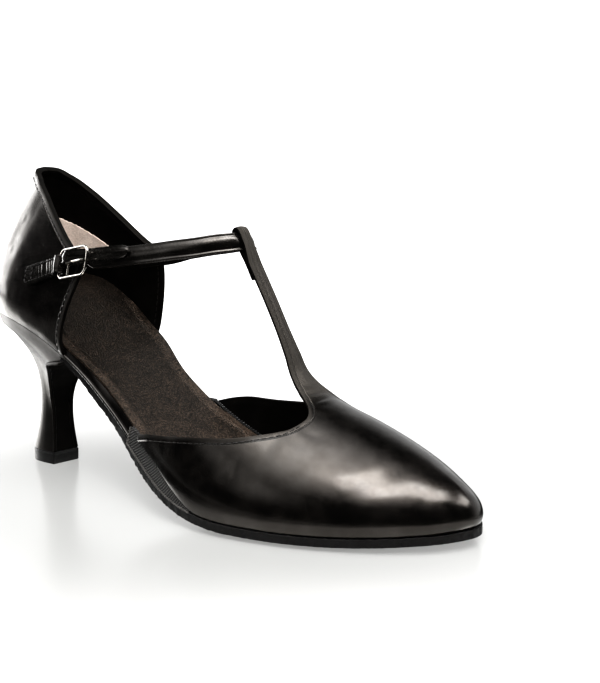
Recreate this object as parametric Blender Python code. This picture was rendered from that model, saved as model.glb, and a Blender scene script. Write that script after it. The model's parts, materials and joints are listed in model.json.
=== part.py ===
"""Ballroom dance shoe for the right foot: closed toe, open sides, T-strap and flared heel.

Sizes are millimetres in the tables and metres in the meshes.  X runs from the heel to the toe,
the outer side of the foot lies toward -Y and Z points up from the floor.
"""
from typing import NamedTuple

import bmesh
import bpy
import numpy as np

MM = 0.001
GAP = 0.3
UPPER_WALL = 1.4
EDGE_CLEAR = UPPER_WALL + GAP
STRAP_WIDTH = 7.5
STRAP_THICK = 1.4
TAB_WIDTH = 7.4
TAB_THICK = 1.2
WIRE_RADIUS = 0.9
BAR_STEP = 6.6
LIFT_HEIGHT = 4.8
HEEL_FRONT = 59.0
LATERAL_REAR = 110.5
MEDIAL_REAR = 101.0
THROAT = 168.0
T_BASE_HALF = 7.0
T_STRAP_HALF = 3.2
TOE_SHARE = 0.8
FLAT_TRIM = 0.25
SOLE_MARGIN = 2.3
RIB_BACK_STEP = 7.0
RIB_FRONT = 141.0
RIB_THICK = 1.2
SOLE_NARROW = 96.0
SOLE_FULL = 140.0
SIDE_RISE = 0.42
SIDE_LIMIT = 45.0
FULLNESS = 0.52
MEDIAL_FLAT = 0.06
TOE_LEAN_FROM = 195.0
TOE_LEAN = 6.0
SEAT_HANDLE = 0.34
TOP_HANDLE = 0.32
TOP_LEAN = 0.3
RIB_RISE = 2.2
RIB_LEAST = 0.4
LIFT_LEDGE = 0.2
BUCKLE_LEFT = (61.0, -25.6, 84.9)
BUCKLE_RIGHT = (79.3, -28.7, 88.5)
BUCKLE_UP = (-0.15, 0.32, 0.93)
BUCKLE_HALF = 5.5
BUCKLE_CORNER = 2.6
BAR_SHARE = 0.75
TAB_REAR = 42.5
TAB_FRONT = 57.5
TAB_REAR_Z = 78.4
TAB_SLOPE = 0.33
LATERAL = -1
MEDIAL = 1


class Section(NamedTuple):
    """One section of the last: half widths and heights at the insole's edge."""

    x: float
    lateral: float
    medial: float
    edge: float
    arch: float
    board: float
    sole: float
    dish: float


class Ridge(NamedTuple):
    """One point of the line over the top of the foot."""

    x: float
    y: float
    z: float


class Topline(NamedTuple):
    """One column of the heel quarter: its place at the foot and at the top edge."""

    foot: float
    x: float
    lead: float
    half: float
    z: float
    low: float
    high: float
    bow_lateral: float
    bow_medial: float


class HeelRow(NamedTuple):
    """One level of the heel between the seat and the lift."""

    fall: float
    back: float
    breast: float
    half: float


class VampRow(NamedTuple):
    """One column of the vamp: its lower edges, top edges and fullness."""

    x: float
    low_lateral: float
    low_medial: float
    top_lateral: float
    top_medial: float
    bulge: float


class PathRow(NamedTuple):
    """One point of a strap: its centre and the tilt of its face."""

    x: float
    y: float
    z: float
    tilt: float


class TailRow(NamedTuple):
    """How far the strap's tail lies outside the strap."""

    x: float
    off: float


SECTIONS = (
    Section(6.2, 0.0, 0.0, 67.2, 0.0, 4.0, 2.4, 0.0),
    Section(8.6, 10.0, 10.0, 67.2, 0.0, 4.0, 2.4, 0.8),
    Section(15.0, 17.8, 18.0, 66.9, 0.0, 4.0, 2.4, 1.4),
    Section(25.0, 22.6, 23.2, 66.0, 0.0, 4.0, 2.4, 1.8),
    Section(37.0, 24.6, 25.2, 63.6, 0.3, 4.0, 2.4, 1.8),
    Section(50.0, 24.9, 25.0, 59.5, 1.0, 4.4, 2.4, 1.4),
    Section(70.0, 24.6, 21.9, 49.3, 2.2, 4.8, 2.4, 1.0),
    Section(90.0, 26.6, 17.8, 36.4, 2.3, 4.8, 2.4, 0.8),
    Section(110.0, 31.8, 18.4, 24.2, 1.9, 4.6, 2.4, 0.8),
    Section(130.0, 37.2, 24.4, 13.6, 1.3, 4.0, 2.5, 1.1),
    Section(150.0, 39.6, 31.4, 8.4, 0.4, 3.0, 2.6, 1.6),
    Section(170.0, 37.3, 35.6, 7.2, 0.0, 2.6, 2.6, 1.9),
    Section(190.0, 31.0, 33.7, 7.2, 0.0, 2.6, 2.6, 1.8),
    Section(204.5, 23.6, 28.4, 7.7, 0.0, 2.6, 2.6, 1.4),
    Section(216.5, 14.4, 20.9, 8.4, 0.0, 2.6, 2.6, 0.9),
    Section(224.3, 6.0, 14.3, 9.0, 0.0, 2.6, 2.6, 0.4),
    Section(228.4, -5.4, 5.4, 9.4, 0.0, 2.6, 2.6, 0.0),
)

RIDGE = (
    Ridge(100.0, 0.0, 150.0),
    Ridge(133.4, 0.0, 91.5),
    Ridge(142.7, 0.3, 76.0),
    Ridge(150.0, 0.8, 64.0),
    Ridge(156.0, 1.4, 54.2),
    Ridge(161.0, 1.9, 48.0),
    Ridge(166.0, 2.4, 44.2),
    Ridge(172.0, 3.0, 41.8),
    Ridge(185.0, 4.0, 37.4),
    Ridge(200.0, 4.8, 31.8),
    Ridge(211.0, 5.2, 27.0),
    Ridge(221.0, 5.4, 21.8),
    Ridge(226.0, 5.4, 18.8),
)

VAMP = (
    VampRow(101.0, 28.5, 30.8, 28.6, 33.0, 0.5),
    VampRow(108.5, 26.4, 26.2, 27.4, 34.0, 0.9),
    VampRow(116.0, 23.2, 21.8, 29.6, 34.4, 1.4),
    VampRow(123.0, 19.4, 17.8, 30.4, 34.7, 1.8),
    VampRow(131.0, 14.0, 13.4, 31.2, 34.9, 2.3),
    VampRow(138.5, 9.4, 9.8, 31.8, 35.2, 2.7),
    VampRow(146.0, 6.0, 6.4, 32.4, 35.6, 3.0),
    VampRow(154.0, 5.3, 5.3, 33.4, 36.2, 3.2),
    VampRow(159.0, 5.1, 5.1, 34.8, 37.2, 3.2),
    VampRow(163.5, 4.9, 4.9, 37.2, 38.8, 3.2),
    VampRow(168.0, 4.8, 4.8, 41.0, 41.0, 3.2),
    VampRow(190.0, 4.8, 4.8, 41.0, 41.0, 3.4),
    VampRow(216.5, 6.0, 6.0, 41.0, 41.0, 3.6),
    VampRow(228.4, 7.0, 7.0, 41.0, 41.0, 3.8),
)
REAR_SHARES = (0.0, 0.1, 0.21, 0.33, 0.45, 0.56, 0.66, 0.75, 0.83, 0.895, 0.94, 0.975, 1.0)
FRONT_COLUMNS = (
    172.0, 178.0, 185.0, 192.0, 199.0, 205.0, 210.6, 215.6, 220.0, 223.5, 226.0, 227.8, 228.4,
)
VAMP_ROWS = 11

TOPLINE = (
    Topline(6.2, 23.8, 0.0, 0.0, 119.2, 3.8, 6.6, 0.0, 0.0),
    Topline(8.6, 25.0, 0.0, 4.4, 118.8, 3.7, 6.2, 0.0, 0.0),
    Topline(15.0, 30.2, 0.0, 8.9, 115.8, 3.2, 5.6, 0.0, 0.0),
    Topline(25.0, 39.0, 0.0, 13.0, 109.6, 2.4, 5.0, 0.0, 0.0),
    Topline(37.0, 49.4, 0.4, 17.2, 100.6, 1.8, 4.4, -0.4, 0.0),
    Topline(50.0, 59.6, 1.6, 20.5, 91.8, 1.6, 4.0, -1.4, 0.6),
    Topline(62.0, 67.6, 3.8, 22.3, 86.6, 1.5, 3.6, -3.2, 1.2),
)
QUARTER_COLUMNS = (6.2, 6.8, 8.6, 11.4, 15.0, 19.6, 25.0, 31.0, 37.0, 43.5, 50.0, 56.0, 62.0)
QUARTER_ROWS = 10

HEEL = (
    HeelRow(0.0, 4.6, 59.0, 26.6),
    HeelRow(0.05, 6.0, 51.5, 23.4),
    HeelRow(0.12, 8.6, 41.5, 18.4),
    HeelRow(0.2, 12.2, 35.8, 13.4),
    HeelRow(0.3, 17.2, 32.2, 9.6),
    HeelRow(0.4, 20.6, 30.9, 7.6),
    HeelRow(0.5, 22.0, 30.6, 6.4),
    HeelRow(0.65, 22.1, 31.0, 5.6),
    HeelRow(0.8, 20.9, 31.8, 5.8),
    HeelRow(0.9, 19.3, 32.6, 6.2),
    HeelRow(1.0, 17.4, 33.4, 6.8),
)
HEEL_LEVELS = 17

STRAP_PATH = (
    PathRow(67.4, -24.5, 86.1, 0.0),
    PathRow(72.0, -24.7, 86.9, 0.0),
    PathRow(79.0, -24.8, 88.1, 0.0),
    PathRow(87.0, -24.3, 89.3, 0.02),
    PathRow(96.0, -22.8, 90.6, 0.05),
    PathRow(104.3, -20.6, 91.9, 0.1),
    PathRow(113.0, -17.6, 93.4, 0.18),
    PathRow(121.0, -13.8, 94.7, 0.3),
    PathRow(126.3, -9.4, 95.8, 0.41),
    PathRow(131.0, -4.4, 96.45, 0.52),
    PathRow(131.8, 0.0, 96.6, 0.53),
    PathRow(131.0, 4.4, 96.45, 0.52),
    PathRow(126.3, 9.2, 95.8, 0.41),
    PathRow(121.0, 13.2, 95.2, 0.3),
    PathRow(113.0, 16.4, 93.6, 0.18),
    PathRow(104.3, 18.6, 92.0, 0.1),
    PathRow(94.0, 20.0, 90.3, 0.05),
    PathRow(84.0, 20.5, 88.4, 0.02),
)
STRAP_END = (74.0, 67.0, 61.0, 55.0)
STRAP_END_Z = 86.4
STRAP_END_SLOPE = 0.18
QUARTER_FRONT = 66.0
TAIL = (
    TailRow(67.4, 4.2),
    TailRow(72.5, 3.3),
    TailRow(79.0, 1.95),
    TailRow(84.0, 1.9),
    TailRow(90.0, 1.87),
    TailRow(100.0, 1.85),
)
TAIL_TIP = 96.5
STRAP_LEAN = 0.32
LOOP_CENTRE = (131.8, 0.0, 96.6)
LOOP_UP = (-0.503, 0.0, 0.864)
LOOP_OUT = (0.864, 0.0, 0.503)
LOOP_HALF = 3.1
LOOP_EASE = 0.25
LOOP_LAP = 3.0
LOOP_FOOT = 9.0
T_COLUMNS = (166.6, 165.0, 163.0, 160.5, 157.5, 154.0, 150.0, 146.0, 142.5)
T_TAPER = 12.0
T_CROWN = 0.35
T_HALF_FACES = 3
HEEL_RING = 12
HEEL_ACROSS = 7
PLATE_ACROSS = 9


def blend(rows: np.ndarray, marks: np.ndarray, at: np.ndarray) -> np.ndarray:
    """Smooth curve through rows that sit at the given marks."""
    rows = np.asarray(rows, float)
    marks = np.asarray(marks, float)
    at = np.asarray(at, float)
    step = np.diff(marks)
    slope = np.diff(rows, axis=0) / step[:, None]
    lean = np.empty_like(rows)
    lean[0] = slope[0]
    lean[-1] = slope[-1]
    share = (step[:-1] / (step[1:] + step[:-1]))[:, None]
    lean[1:-1] = (1 - share) * slope[:-1] + share * slope[1:]
    place = np.clip(np.searchsorted(marks, at, side="right") - 1, 0, len(marks) - 2)
    width = step[place][..., None]
    s = (at - marks[place])[..., None] / width
    rise = 3 * s**2 - 2 * s**3
    start = width * (s**3 - 2 * s**2 + s) * lean[place]
    end = width * (s**3 - s**2) * lean[place + 1]
    return rows[place] * (1 - rise) + rows[place + 1] * rise + start + end


def marks_of_last() -> np.ndarray:
    """Distance along the outline for every section of the last."""
    plan = np.array([(row.x, (row.lateral + row.medial) / 2) for row in SECTIONS])
    return np.concatenate([[0.0], np.cumsum(np.linalg.norm(np.diff(plan, axis=0), axis=1))])


MARKS = marks_of_last()


def edge_rows(side: int) -> np.ndarray:
    """Insole edge of one side at the sections of the last."""
    rows = []
    for row in SECTIONS:
        y = -row.lateral if side == LATERAL else row.medial
        rise = row.arch if side == MEDIAL else 0.0
        rows.append((row.x, y, row.edge + rise))
    return np.array(rows)


def foot_edge(side: int, mark: np.ndarray) -> np.ndarray:
    """Insole edge of one side at any mark; both ends run round into the other side."""
    near = edge_rows(side)
    far = edge_rows(-side)
    rows = np.concatenate([far[1:2], near, far[-2:-1]])
    marks = np.concatenate([[2 * MARKS[0] - MARKS[1]], MARKS, [2 * MARKS[-1] - MARKS[-2]]])
    return blend(rows, marks, mark)


def outward(side: int, mark: np.ndarray) -> np.ndarray:
    """Direction in plan that points away from the foot at the outline."""
    mark = np.asarray(mark, float)
    run = foot_edge(side, mark + 0.05) - foot_edge(side, mark - 0.05)
    turn = np.stack([-run[..., 1], run[..., 0], 0 * run[..., 0]], axis=-1) * side
    return turn / np.linalg.norm(turn, axis=-1, keepdims=True)


def mark_at(x: float) -> float:
    """Mark where the outline passes a given x."""
    if x >= SECTIONS[-1].x:
        return float(MARKS[-1])
    fine = np.linspace(MARKS[0], MARKS[-1], 4001)
    return float(np.interp(x, foot_edge(LATERAL, fine)[:, 0], fine))


def column(name: str, mark: np.ndarray) -> np.ndarray:
    """One column of the section table at any mark."""
    values = np.array([[getattr(row, name)] for row in SECTIONS])
    return blend(values, MARKS, mark)[..., 0]


def table(rows: tuple, key: str, name: str, at: np.ndarray) -> np.ndarray:
    """One column of a table, read smoothly along its key column."""
    marks = np.array([getattr(row, key) for row in rows])
    values = np.array([[getattr(row, name)] for row in rows])
    return blend(values, marks, np.clip(at, marks[0], marks[-1]))[..., 0]


def plate(mark: np.ndarray, across: np.ndarray, grow: np.ndarray) -> np.ndarray:
    """Ruled grid between both edges of the last, grown outward in plan."""
    low = foot_edge(LATERAL, mark) + outward(LATERAL, mark) * grow[:, None]
    high = foot_edge(MEDIAL, mark) + outward(MEDIAL, mark) * grow[:, None]
    share = (across[None, :, None] + 1) / 2
    return low[:, None] * (1 - share) + high[:, None] * share


def bezier(a: np.ndarray, b: np.ndarray, c: np.ndarray, d: np.ndarray, s: np.ndarray) -> np.ndarray:
    """Cubic curve from a to d with handles b and c."""
    s = np.asarray(s, float)[..., None]
    return a * (1 - s) ** 3 + 3 * b * s * (1 - s) ** 2 + 3 * c * s**2 * (1 - s) + d * s**3


def ridge_point(x: np.ndarray) -> np.ndarray:
    """Point of the line over the top of the foot."""
    return np.stack([x, table(RIDGE, "x", "y", x), table(RIDGE, "x", "z", x)], axis=-1)


def ridge_of(foot: float) -> float:
    """Place on the ridge that a column of the vamp climbs to."""
    toe = max(0.0, (foot - TOE_LEAN_FROM) / (SECTIONS[-1].x - TOE_LEAN_FROM))
    return foot - TOE_LEAN * toe**2


def vamp_point(side: int, foot: float, rise: np.ndarray) -> np.ndarray:
    """Outer face of the vamp on one column, from its lower edge to the ridge."""
    mark = np.array([mark_at(foot)])
    edge = foot_edge(side, mark)[0]
    out = outward(side, mark)[0]
    start = edge + out * EDGE_CLEAR
    start[2] = float(table(VAMP, "x", "low_lateral" if side == LATERAL else "low_medial", np.array(foot)))
    climb = ridge_of(foot)
    top = ridge_point(np.array(climb))
    slope = (ridge_point(np.array(climb + 0.5)) - ridge_point(np.array(climb - 0.5)))[2]
    reach = np.linalg.norm(top[:2] - start[:2])
    height = top[2] - start[2]
    bulge = float(table(VAMP, "x", "bulge", np.array(foot)))
    first = start + out * bulge + np.array([0.0, 0.0, SIDE_RISE * min(height, SIDE_LIMIT)])
    full = FULLNESS - MEDIAL_FLAT * max(0.0, out[1])
    second = top + out * reach * full
    second[2] += out[0] * reach * full * slope
    return bezier(start, first, second, top, rise)


def topline_share(side: int, foot: float) -> float:
    """Share of a vamp column that lies below the top edge."""
    name = "top_lateral" if side == LATERAL else "top_medial"
    height = float(table(VAMP, "x", name, np.array(foot)))
    fine = np.linspace(0.0, 1.0, 400)
    z = np.maximum.accumulate(vamp_point(side, foot, fine)[:, 2])
    return float(np.interp(height, z, fine))


def base_share(side: int, foot: float) -> float:
    """Share of a vamp column that lies outside the base of the T-strap."""
    fine = np.linspace(0.0, 1.0, 400)
    points = vamp_point(side, foot, fine)
    away = np.abs(points[:, 1] - points[-1, 1])
    return float(np.interp(-T_BASE_HALF, -away, fine))


def quarter_point(side: int, foot: np.ndarray, rise: np.ndarray) -> np.ndarray:
    """Outer face of the heel quarter from the seat to the top edge."""
    foot = np.asarray(foot, float)
    mark = np.interp(foot, foot_edge(LATERAL, np.linspace(0, MARKS[-1], 4001))[:, 0],
                     np.linspace(0, MARKS[-1], 4001))
    out = outward(side, mark)
    start = foot_edge(side, mark) + out * EDGE_CLEAR
    start[..., 2] -= column("board", mark)
    wide = table(TOPLINE, "foot", "half", foot)
    ahead = table(TOPLINE, "foot", "x", foot)
    if side == LATERAL:
        ahead = ahead + table(TOPLINE, "foot", "lead", foot)
    end = np.stack([ahead, side * wide, table(TOPLINE, "foot", "z", foot)], axis=-1)
    height = (end - start)[..., 2:]
    up = np.array([0.0, 0.0, 1.0])
    bow = table(TOPLINE, "foot", "bow_lateral" if side == LATERAL else "bow_medial", foot)
    bow = bow[..., None] * np.array([1.0, 0.0, 0.0])
    low = table(TOPLINE, "foot", "low", foot)[..., None]
    high = table(TOPLINE, "foot", "high", foot)[..., None]
    first = start + out * low + up * height * SEAT_HANDLE + bow
    second = end + out * high - up * height * TOP_HANDLE + bow * 0.2
    second[..., 0] -= (end - start)[..., 0] * TOP_LEAN
    return bezier(start, first, second, end, rise)


def quarter_at(side: int, x: np.ndarray, z: np.ndarray) -> tuple:
    """Point and outward normal of the quarter's outer face at a side-view place."""
    foot = np.clip(np.asarray(x, float) - 6.0, 10.0, 62.0)
    rise = np.full_like(foot, 0.5)
    for _ in range(12):
        here = quarter_point(side, foot, rise)
        along = (quarter_point(side, foot + 0.05, rise) - here) / 0.05
        upward = (quarter_point(side, foot, rise + 0.001) - here) / 0.001
        miss_x = x - here[..., 0]
        miss_z = z - here[..., 2]
        det = along[..., 0] * upward[..., 2] - along[..., 2] * upward[..., 0]
        foot = foot + 0.8 * (miss_x * upward[..., 2] - miss_z * upward[..., 0]) / det
        rise = rise + 0.8 * (along[..., 0] * miss_z - along[..., 2] * miss_x) / det
        foot = np.clip(foot, 8.0, 62.0)
        rise = np.clip(rise, 0.0, 1.1)
    normal = np.cross(along, upward) * -side
    normal = normal / np.linalg.norm(normal, axis=-1, keepdims=True)
    return quarter_point(side, foot, rise), normal


def material(name: str, colour: tuple, roughness: float, metallic: float) -> bpy.types.Material:
    """Plain Principled material."""
    made = bpy.data.materials.new(name)
    made.use_nodes = True
    shader = made.node_tree.nodes["Principled BSDF"]
    shader.inputs["Base Color"].default_value = (*colour, 1.0)
    shader.inputs["Roughness"].default_value = roughness
    shader.inputs["Metallic"].default_value = metallic
    made.diffuse_color = (*colour, 1.0)
    return made


def node(name: str, points: np.ndarray, faces: list, finish: bpy.types.Material) -> bpy.types.Object:
    """Mesh object from points in millimetres, welded and facing outward."""
    mesh = bpy.data.meshes.new(name)
    mesh.from_pydata((np.asarray(points) * MM).tolist(), [], faces)
    work = bmesh.new()
    work.from_mesh(mesh)
    bmesh.ops.remove_doubles(work, verts=work.verts, dist=0.00002)
    bmesh.ops.dissolve_degenerate(work, edges=work.edges, dist=0.00001)
    bmesh.ops.recalc_face_normals(work, faces=work.faces)
    work.to_mesh(mesh)
    work.free()
    mesh.materials.append(finish)
    made = bpy.data.objects.new(name, mesh)
    bpy.context.collection.objects.link(made)
    return made


def grid_faces(count: int, across: int, first: int, flip: bool) -> list:
    """Quads of a count by across grid whose points start at a given index."""
    faces = []
    for i in range(count - 1):
        for j in range(across - 1):
            a = first + i * across + j
            quad = (a, a + 1, a + across + 1, a + across)
            faces.append(tuple(reversed(quad)) if flip else quad)
    return faces


def slab(name: str, top: np.ndarray, bottom: np.ndarray, finish: bpy.types.Material) -> bpy.types.Object:
    """Closed solid between two grids of the same size."""
    count, across, _ = top.shape
    size = count * across
    points = np.concatenate([top.reshape(-1, 3), bottom.reshape(-1, 3)])
    faces = grid_faces(count, across, 0, False) + grid_faces(count, across, size, True)
    rim = [i * across for i in range(count)]
    rim += [(count - 1) * across + j for j in range(1, across)]
    rim += [i * across + across - 1 for i in range(count - 2, -1, -1)]
    rim += [j for j in range(across - 2, 0, -1)]
    for a, b in zip(rim, rim[1:] + rim[:1]):
        faces.append((a, b, b + size, a + size))
    return node(name, points, faces, finish)


def thicken(sheet: bpy.types.Object, wall: float) -> bpy.types.Object:
    """Give a sheet its wall, inward from its face."""
    solid = sheet.modifiers.new("wall", "SOLIDIFY")
    solid.thickness = wall * MM
    solid.offset = -1.0
    solid.use_even_offset = True
    solid.use_rim = True
    return sheet


def ribbon_section(width: float, thick: float, round_off: float) -> list:
    """Outline of a strap's section as (across, up) pairs."""
    half = width / 2
    deep = thick / 2
    return [
        (-deep, -half + round_off), (-deep + round_off, -half), (deep - round_off, -half),
        (deep, -half + round_off), (deep, half - round_off), (deep - round_off, half),
        (-deep + round_off, half), (-deep, half - round_off),
    ]


def sweep(name: str, path: np.ndarray, ups: np.ndarray, section: list, closed: bool,
          finish: bpy.types.Material) -> bpy.types.Object:
    """Carry a section along a path; ups holds the section's upward direction."""
    path = np.asarray(path, float)
    count = len(path)
    if closed:
        run = np.roll(path, -1, axis=0) - np.roll(path, 1, axis=0)
    else:
        run = np.gradient(path, axis=0)
    run = run / np.linalg.norm(run, axis=1, keepdims=True)
    side = np.cross(run, ups)
    side = side / np.linalg.norm(side, axis=1, keepdims=True)
    up = np.cross(side, run)
    points = [path + side * a + up * b for a, b in section]
    points = np.stack(points, axis=1).reshape(-1, 3)
    around = len(section)
    faces = []
    for i in range(count if closed else count - 1):
        k = (i + 1) % count
        for j in range(around):
            m = (j + 1) % around
            faces.append((i * around + j, i * around + m, k * around + m, k * around + j))
    if not closed:
        faces.append(tuple(range(around)))
        faces.append(tuple(range((count - 1) * around, count * around)))
    return node(name, points, faces, finish)


def path_points(rows: tuple, count: int) -> tuple:
    """Evenly read points and up directions of a strap's path."""
    centres = np.array([(row.x, row.y, row.z) for row in rows])
    marks = np.concatenate([[0.0], np.cumsum(np.linalg.norm(np.diff(centres, axis=0), axis=1))])
    at = np.linspace(0.0, marks[-1], count)
    tilt = blend(np.array([[row.tilt] for row in rows]), marks, at)[:, 0]
    centres = blend(centres, marks, at)
    lean = -STRAP_LEAN * centres[:, 1] / 24.0
    ups = np.stack([-np.sin(tilt), lean, np.cos(tilt)], axis=1)
    return centres, ups


def front_marks(start: float, count: int) -> np.ndarray:
    """Marks from a start to the toe, closer together where the toe turns."""
    turn = MARKS[-1] - np.array([10.0, 7.0, 4.5, 2.2, 0.0])
    return np.concatenate([np.linspace(start, MARKS[-1] - 14, count), turn])


def build_insole(finish: bpy.types.Material) -> bpy.types.Object:
    """Insole board with its sock, the whole length of the foot."""
    mark = np.concatenate([np.linspace(0, 12, 7), front_marks(20.0, 28)])
    across = np.linspace(-1, 1, PLATE_ACROSS)
    top = plate(mark, across, np.zeros_like(mark))
    top[..., 2] -= column("dish", mark)[:, None] * (1 - across**2)[None, :]
    bottom = top.copy()
    bottom[..., 2] -= column("board", mark)[:, None]
    return slab("insole", top, bottom, finish)


def sole_grow(mark: np.ndarray) -> np.ndarray:
    """How far the outsole stands outside the insole's edge."""
    rear = mark_at(SOLE_NARROW)
    share = np.clip((mark - rear) / (mark_at(SOLE_FULL) - rear), 0, 1)
    return SOLE_MARGIN * share**2 * (3 - 2 * share)


def build_outsole(finish: bpy.types.Material) -> bpy.types.Object:
    """Thin suede outsole from the heel breast to the toe."""
    mark = front_marks(mark_at(HEEL_FRONT + GAP), 30)
    across = np.linspace(-1, 1, PLATE_ACROSS)
    top = plate(mark, across, sole_grow(mark))
    top[..., 2] -= (column("board", mark) + GAP)[:, None]
    top[..., 2] -= column("dish", mark)[:, None] * (1 - across**2)[None, :]
    bottom = top.copy()
    bottom[..., 2] -= column("sole", mark)[:, None]
    bottom[..., 2] = np.maximum(bottom[..., 2] - FLAT_TRIM, 0.0)
    return slab("outsole", top, bottom, finish)


def build_vamp(finish: bpy.types.Material) -> bpy.types.Object:
    """Vamp with the T-strap and its folded loop, cut in one piece."""
    points = []
    faces = []
    half = T_HALF_FACES
    grids = {}
    for side in (LATERAL, MEDIAL):
        columns = []
        rear = LATERAL_REAR if side == LATERAL else MEDIAL_REAR
        feet = [rear + (THROAT - rear) * share for share in REAR_SHARES]
        for foot in feet + list(FRONT_COLUMNS):
            if foot < THROAT:
                share = min(topline_share(side, foot), base_share(side, THROAT))
                rise = np.linspace(0.0, share, VAMP_ROWS)
            else:
                ahead = (foot - THROAT) / (SECTIONS[-1].x - THROAT)
                share = base_share(side, THROAT) * (1 - ahead) + TOE_SHARE * ahead
                rise = np.concatenate([np.linspace(0.0, share, VAMP_ROWS),
                                       np.linspace(share, 1.0, half + 1)[1:]])
            first = len(points)
            points.extend(vamp_point(side, foot, rise))
            columns.append(list(range(first, len(points))))
        grids[side] = columns
        for low, high in zip(columns, columns[1:]):
            for j in range(min(len(low), len(high)) - 1):
                quad = (low[j], high[j], high[j + 1], low[j + 1])
                faces.append(quad if side == LATERAL else tuple(reversed(quad)))
    base_index = len(REAR_SHARES) - 1
    left = grids[LATERAL][base_index][VAMP_ROWS - 1:]
    right = grids[MEDIAL][base_index][VAMP_ROWS - 1:]
    row = left + list(reversed(right[:-1]))
    spread = np.linspace(-1, 1, 2 * half + 1)
    for centre, out, wide in strap_rows():
        first = len(points)
        for w in spread:
            points.append(centre + np.array([0.0, wide * w, 0.0]) - out * T_CROWN * w**2)
        new = list(range(first, len(points)))
        for j in range(2 * half):
            faces.append((row[j + 1], row[j], new[j], new[j + 1]))
        row = new
    sheet = node("vamp", np.array(points), faces, finish)
    return thicken(sheet, UPPER_WALL)


def strap_rows() -> list:
    """Rows of the T-strap from the throat up and round the ankle strap."""
    rows = []
    for x in T_COLUMNS:
        centre = ridge_point(np.array(x))
        run = ridge_point(np.array(x - 0.5)) - ridge_point(np.array(x + 0.5))
        out = np.cross(np.array([0.0, 1.0, 0.0]), run)
        out = out / np.linalg.norm(out)
        share = np.clip((THROAT - x) / T_TAPER, 0, 1)
        wide = T_STRAP_HALF + (T_BASE_HALF - T_STRAP_HALF) * (1 - share) ** 2.5
        rows.append((centre, out, wide))
    base = np.array(LOOP_CENTRE)
    up = np.array(LOOP_UP)
    front = np.array(LOOP_OUT)
    near = STRAP_THICK / 2 + GAP + LOOP_EASE
    top = STRAP_WIDTH / 2 + GAP
    hook = [(s, -near) for s in np.linspace(-LOOP_FOOT, top, 5)]
    hook += [(top + near * np.sin(a), -near * np.cos(a)) for a in np.linspace(0, np.pi, 6)[1:]]
    hook += [(0.5, near), (-top + 0.2 * LOOP_LAP, near), (-top - 0.17 * LOOP_LAP, near * 0.45)]
    hook += [(-top - 0.53 * LOOP_LAP, -near + 0.55), (-top - LOOP_LAP, -near + 0.35)]
    for k, (s, n) in enumerate(hook):
        before = np.array(hook[max(k - 1, 0)])
        after = np.array(hook[min(k + 1, len(hook) - 1)])
        run = (after - before)[0] * up + (after - before)[1] * front
        out = np.cross(np.array([0.0, 1.0, 0.0]), run)
        out = out / np.linalg.norm(out)
        rows.append((base + up * s + front * n, out, LOOP_HALF if k > 1 else T_STRAP_HALF))
    return rows


def build_quarter(finish: bpy.types.Material) -> bpy.types.Object:
    """Heel quarter round the back of the foot."""
    feet = [(LATERAL, x) for x in reversed(QUARTER_COLUMNS)] + [(MEDIAL, x) for x in QUARTER_COLUMNS[1:]]
    rise = np.linspace(0.0, 1.0, QUARTER_ROWS)
    grid = np.array([quarter_point(side, np.full(QUARTER_ROWS, x), rise) for side, x in feet])
    faces = grid_faces(len(feet), QUARTER_ROWS, 0, False)
    sheet = node("quarter", grid.reshape(-1, 3), faces, finish)
    return thicken(sheet, UPPER_WALL)


def heel_marks() -> np.ndarray:
    """Marks of the heel's outline from the breast to the back."""
    return np.concatenate([[mark_at(HEEL_FRONT)], np.linspace(mark_at(53.0), 0.0, HEEL_RING - 1)])


def heel_plan() -> tuple:
    """Both sides of the heel's seat outline, from the breast to the back."""
    mark = heel_marks()
    low = foot_edge(LATERAL, mark) + outward(LATERAL, mark) * UPPER_WALL
    high = foot_edge(MEDIAL, mark) + outward(MEDIAL, mark) * UPPER_WALL
    drop = column("board", mark) + GAP
    low[:, 2] -= drop
    high[:, 2] -= drop
    return low, high


def build_heel(finish: bpy.types.Material) -> bpy.types.Object:
    """Covered heel from the seat down to the lift."""
    low, high = heel_plan()
    across = np.linspace(0, 1, HEEL_ACROSS)[None, :, None]
    seat = low[:, None] * (1 - across) + high[:, None] * across
    seat[..., 2] -= column("dish", heel_marks())[:, None] * (1 - (2 * across[..., 0] - 1)**2)
    depth = (HEEL_FRONT - seat[..., 0]) / (HEEL_FRONT - HEEL[0].back)
    wide = seat[..., 1] / HEEL[0].half
    ring = [(i, 0) for i in range(HEEL_RING)]
    ring += [(i, HEEL_ACROSS - 1) for i in range(HEEL_RING - 2, -1, -1)]
    ring += [(0, j) for j in range(HEEL_ACROSS - 2, 0, -1)]
    points = list(seat.reshape(-1, 3))
    faces = grid_faces(HEEL_RING, HEEL_ACROSS, 0, False)
    above = [i * HEEL_ACROSS + j for i, j in ring]
    tip = LIFT_HEIGHT + GAP
    for fall in np.linspace(0.0, 1.0, HEEL_LEVELS)[1:]**1.25:
        back = float(table(HEEL, "fall", "back", np.array(fall)))
        breast = float(table(HEEL, "fall", "breast", np.array(fall)))
        half = float(table(HEEL, "fall", "half", np.array(fall)))
        first = len(points)
        for i, j in ring:
            z = seat[i, j, 2] + fall * (tip - seat[i, j, 2])
            points.append((breast - depth[i, j] * (breast - back), wide[i, j] * half, z))
        level = list(range(first, len(points)))
        for k in range(len(ring)):
            m = (k + 1) % len(ring)
            faces.append((above[k], above[m], level[m], level[k]))
        above = level
    faces.append(tuple(above))
    return node("heel", np.array(points), faces, finish)


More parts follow.
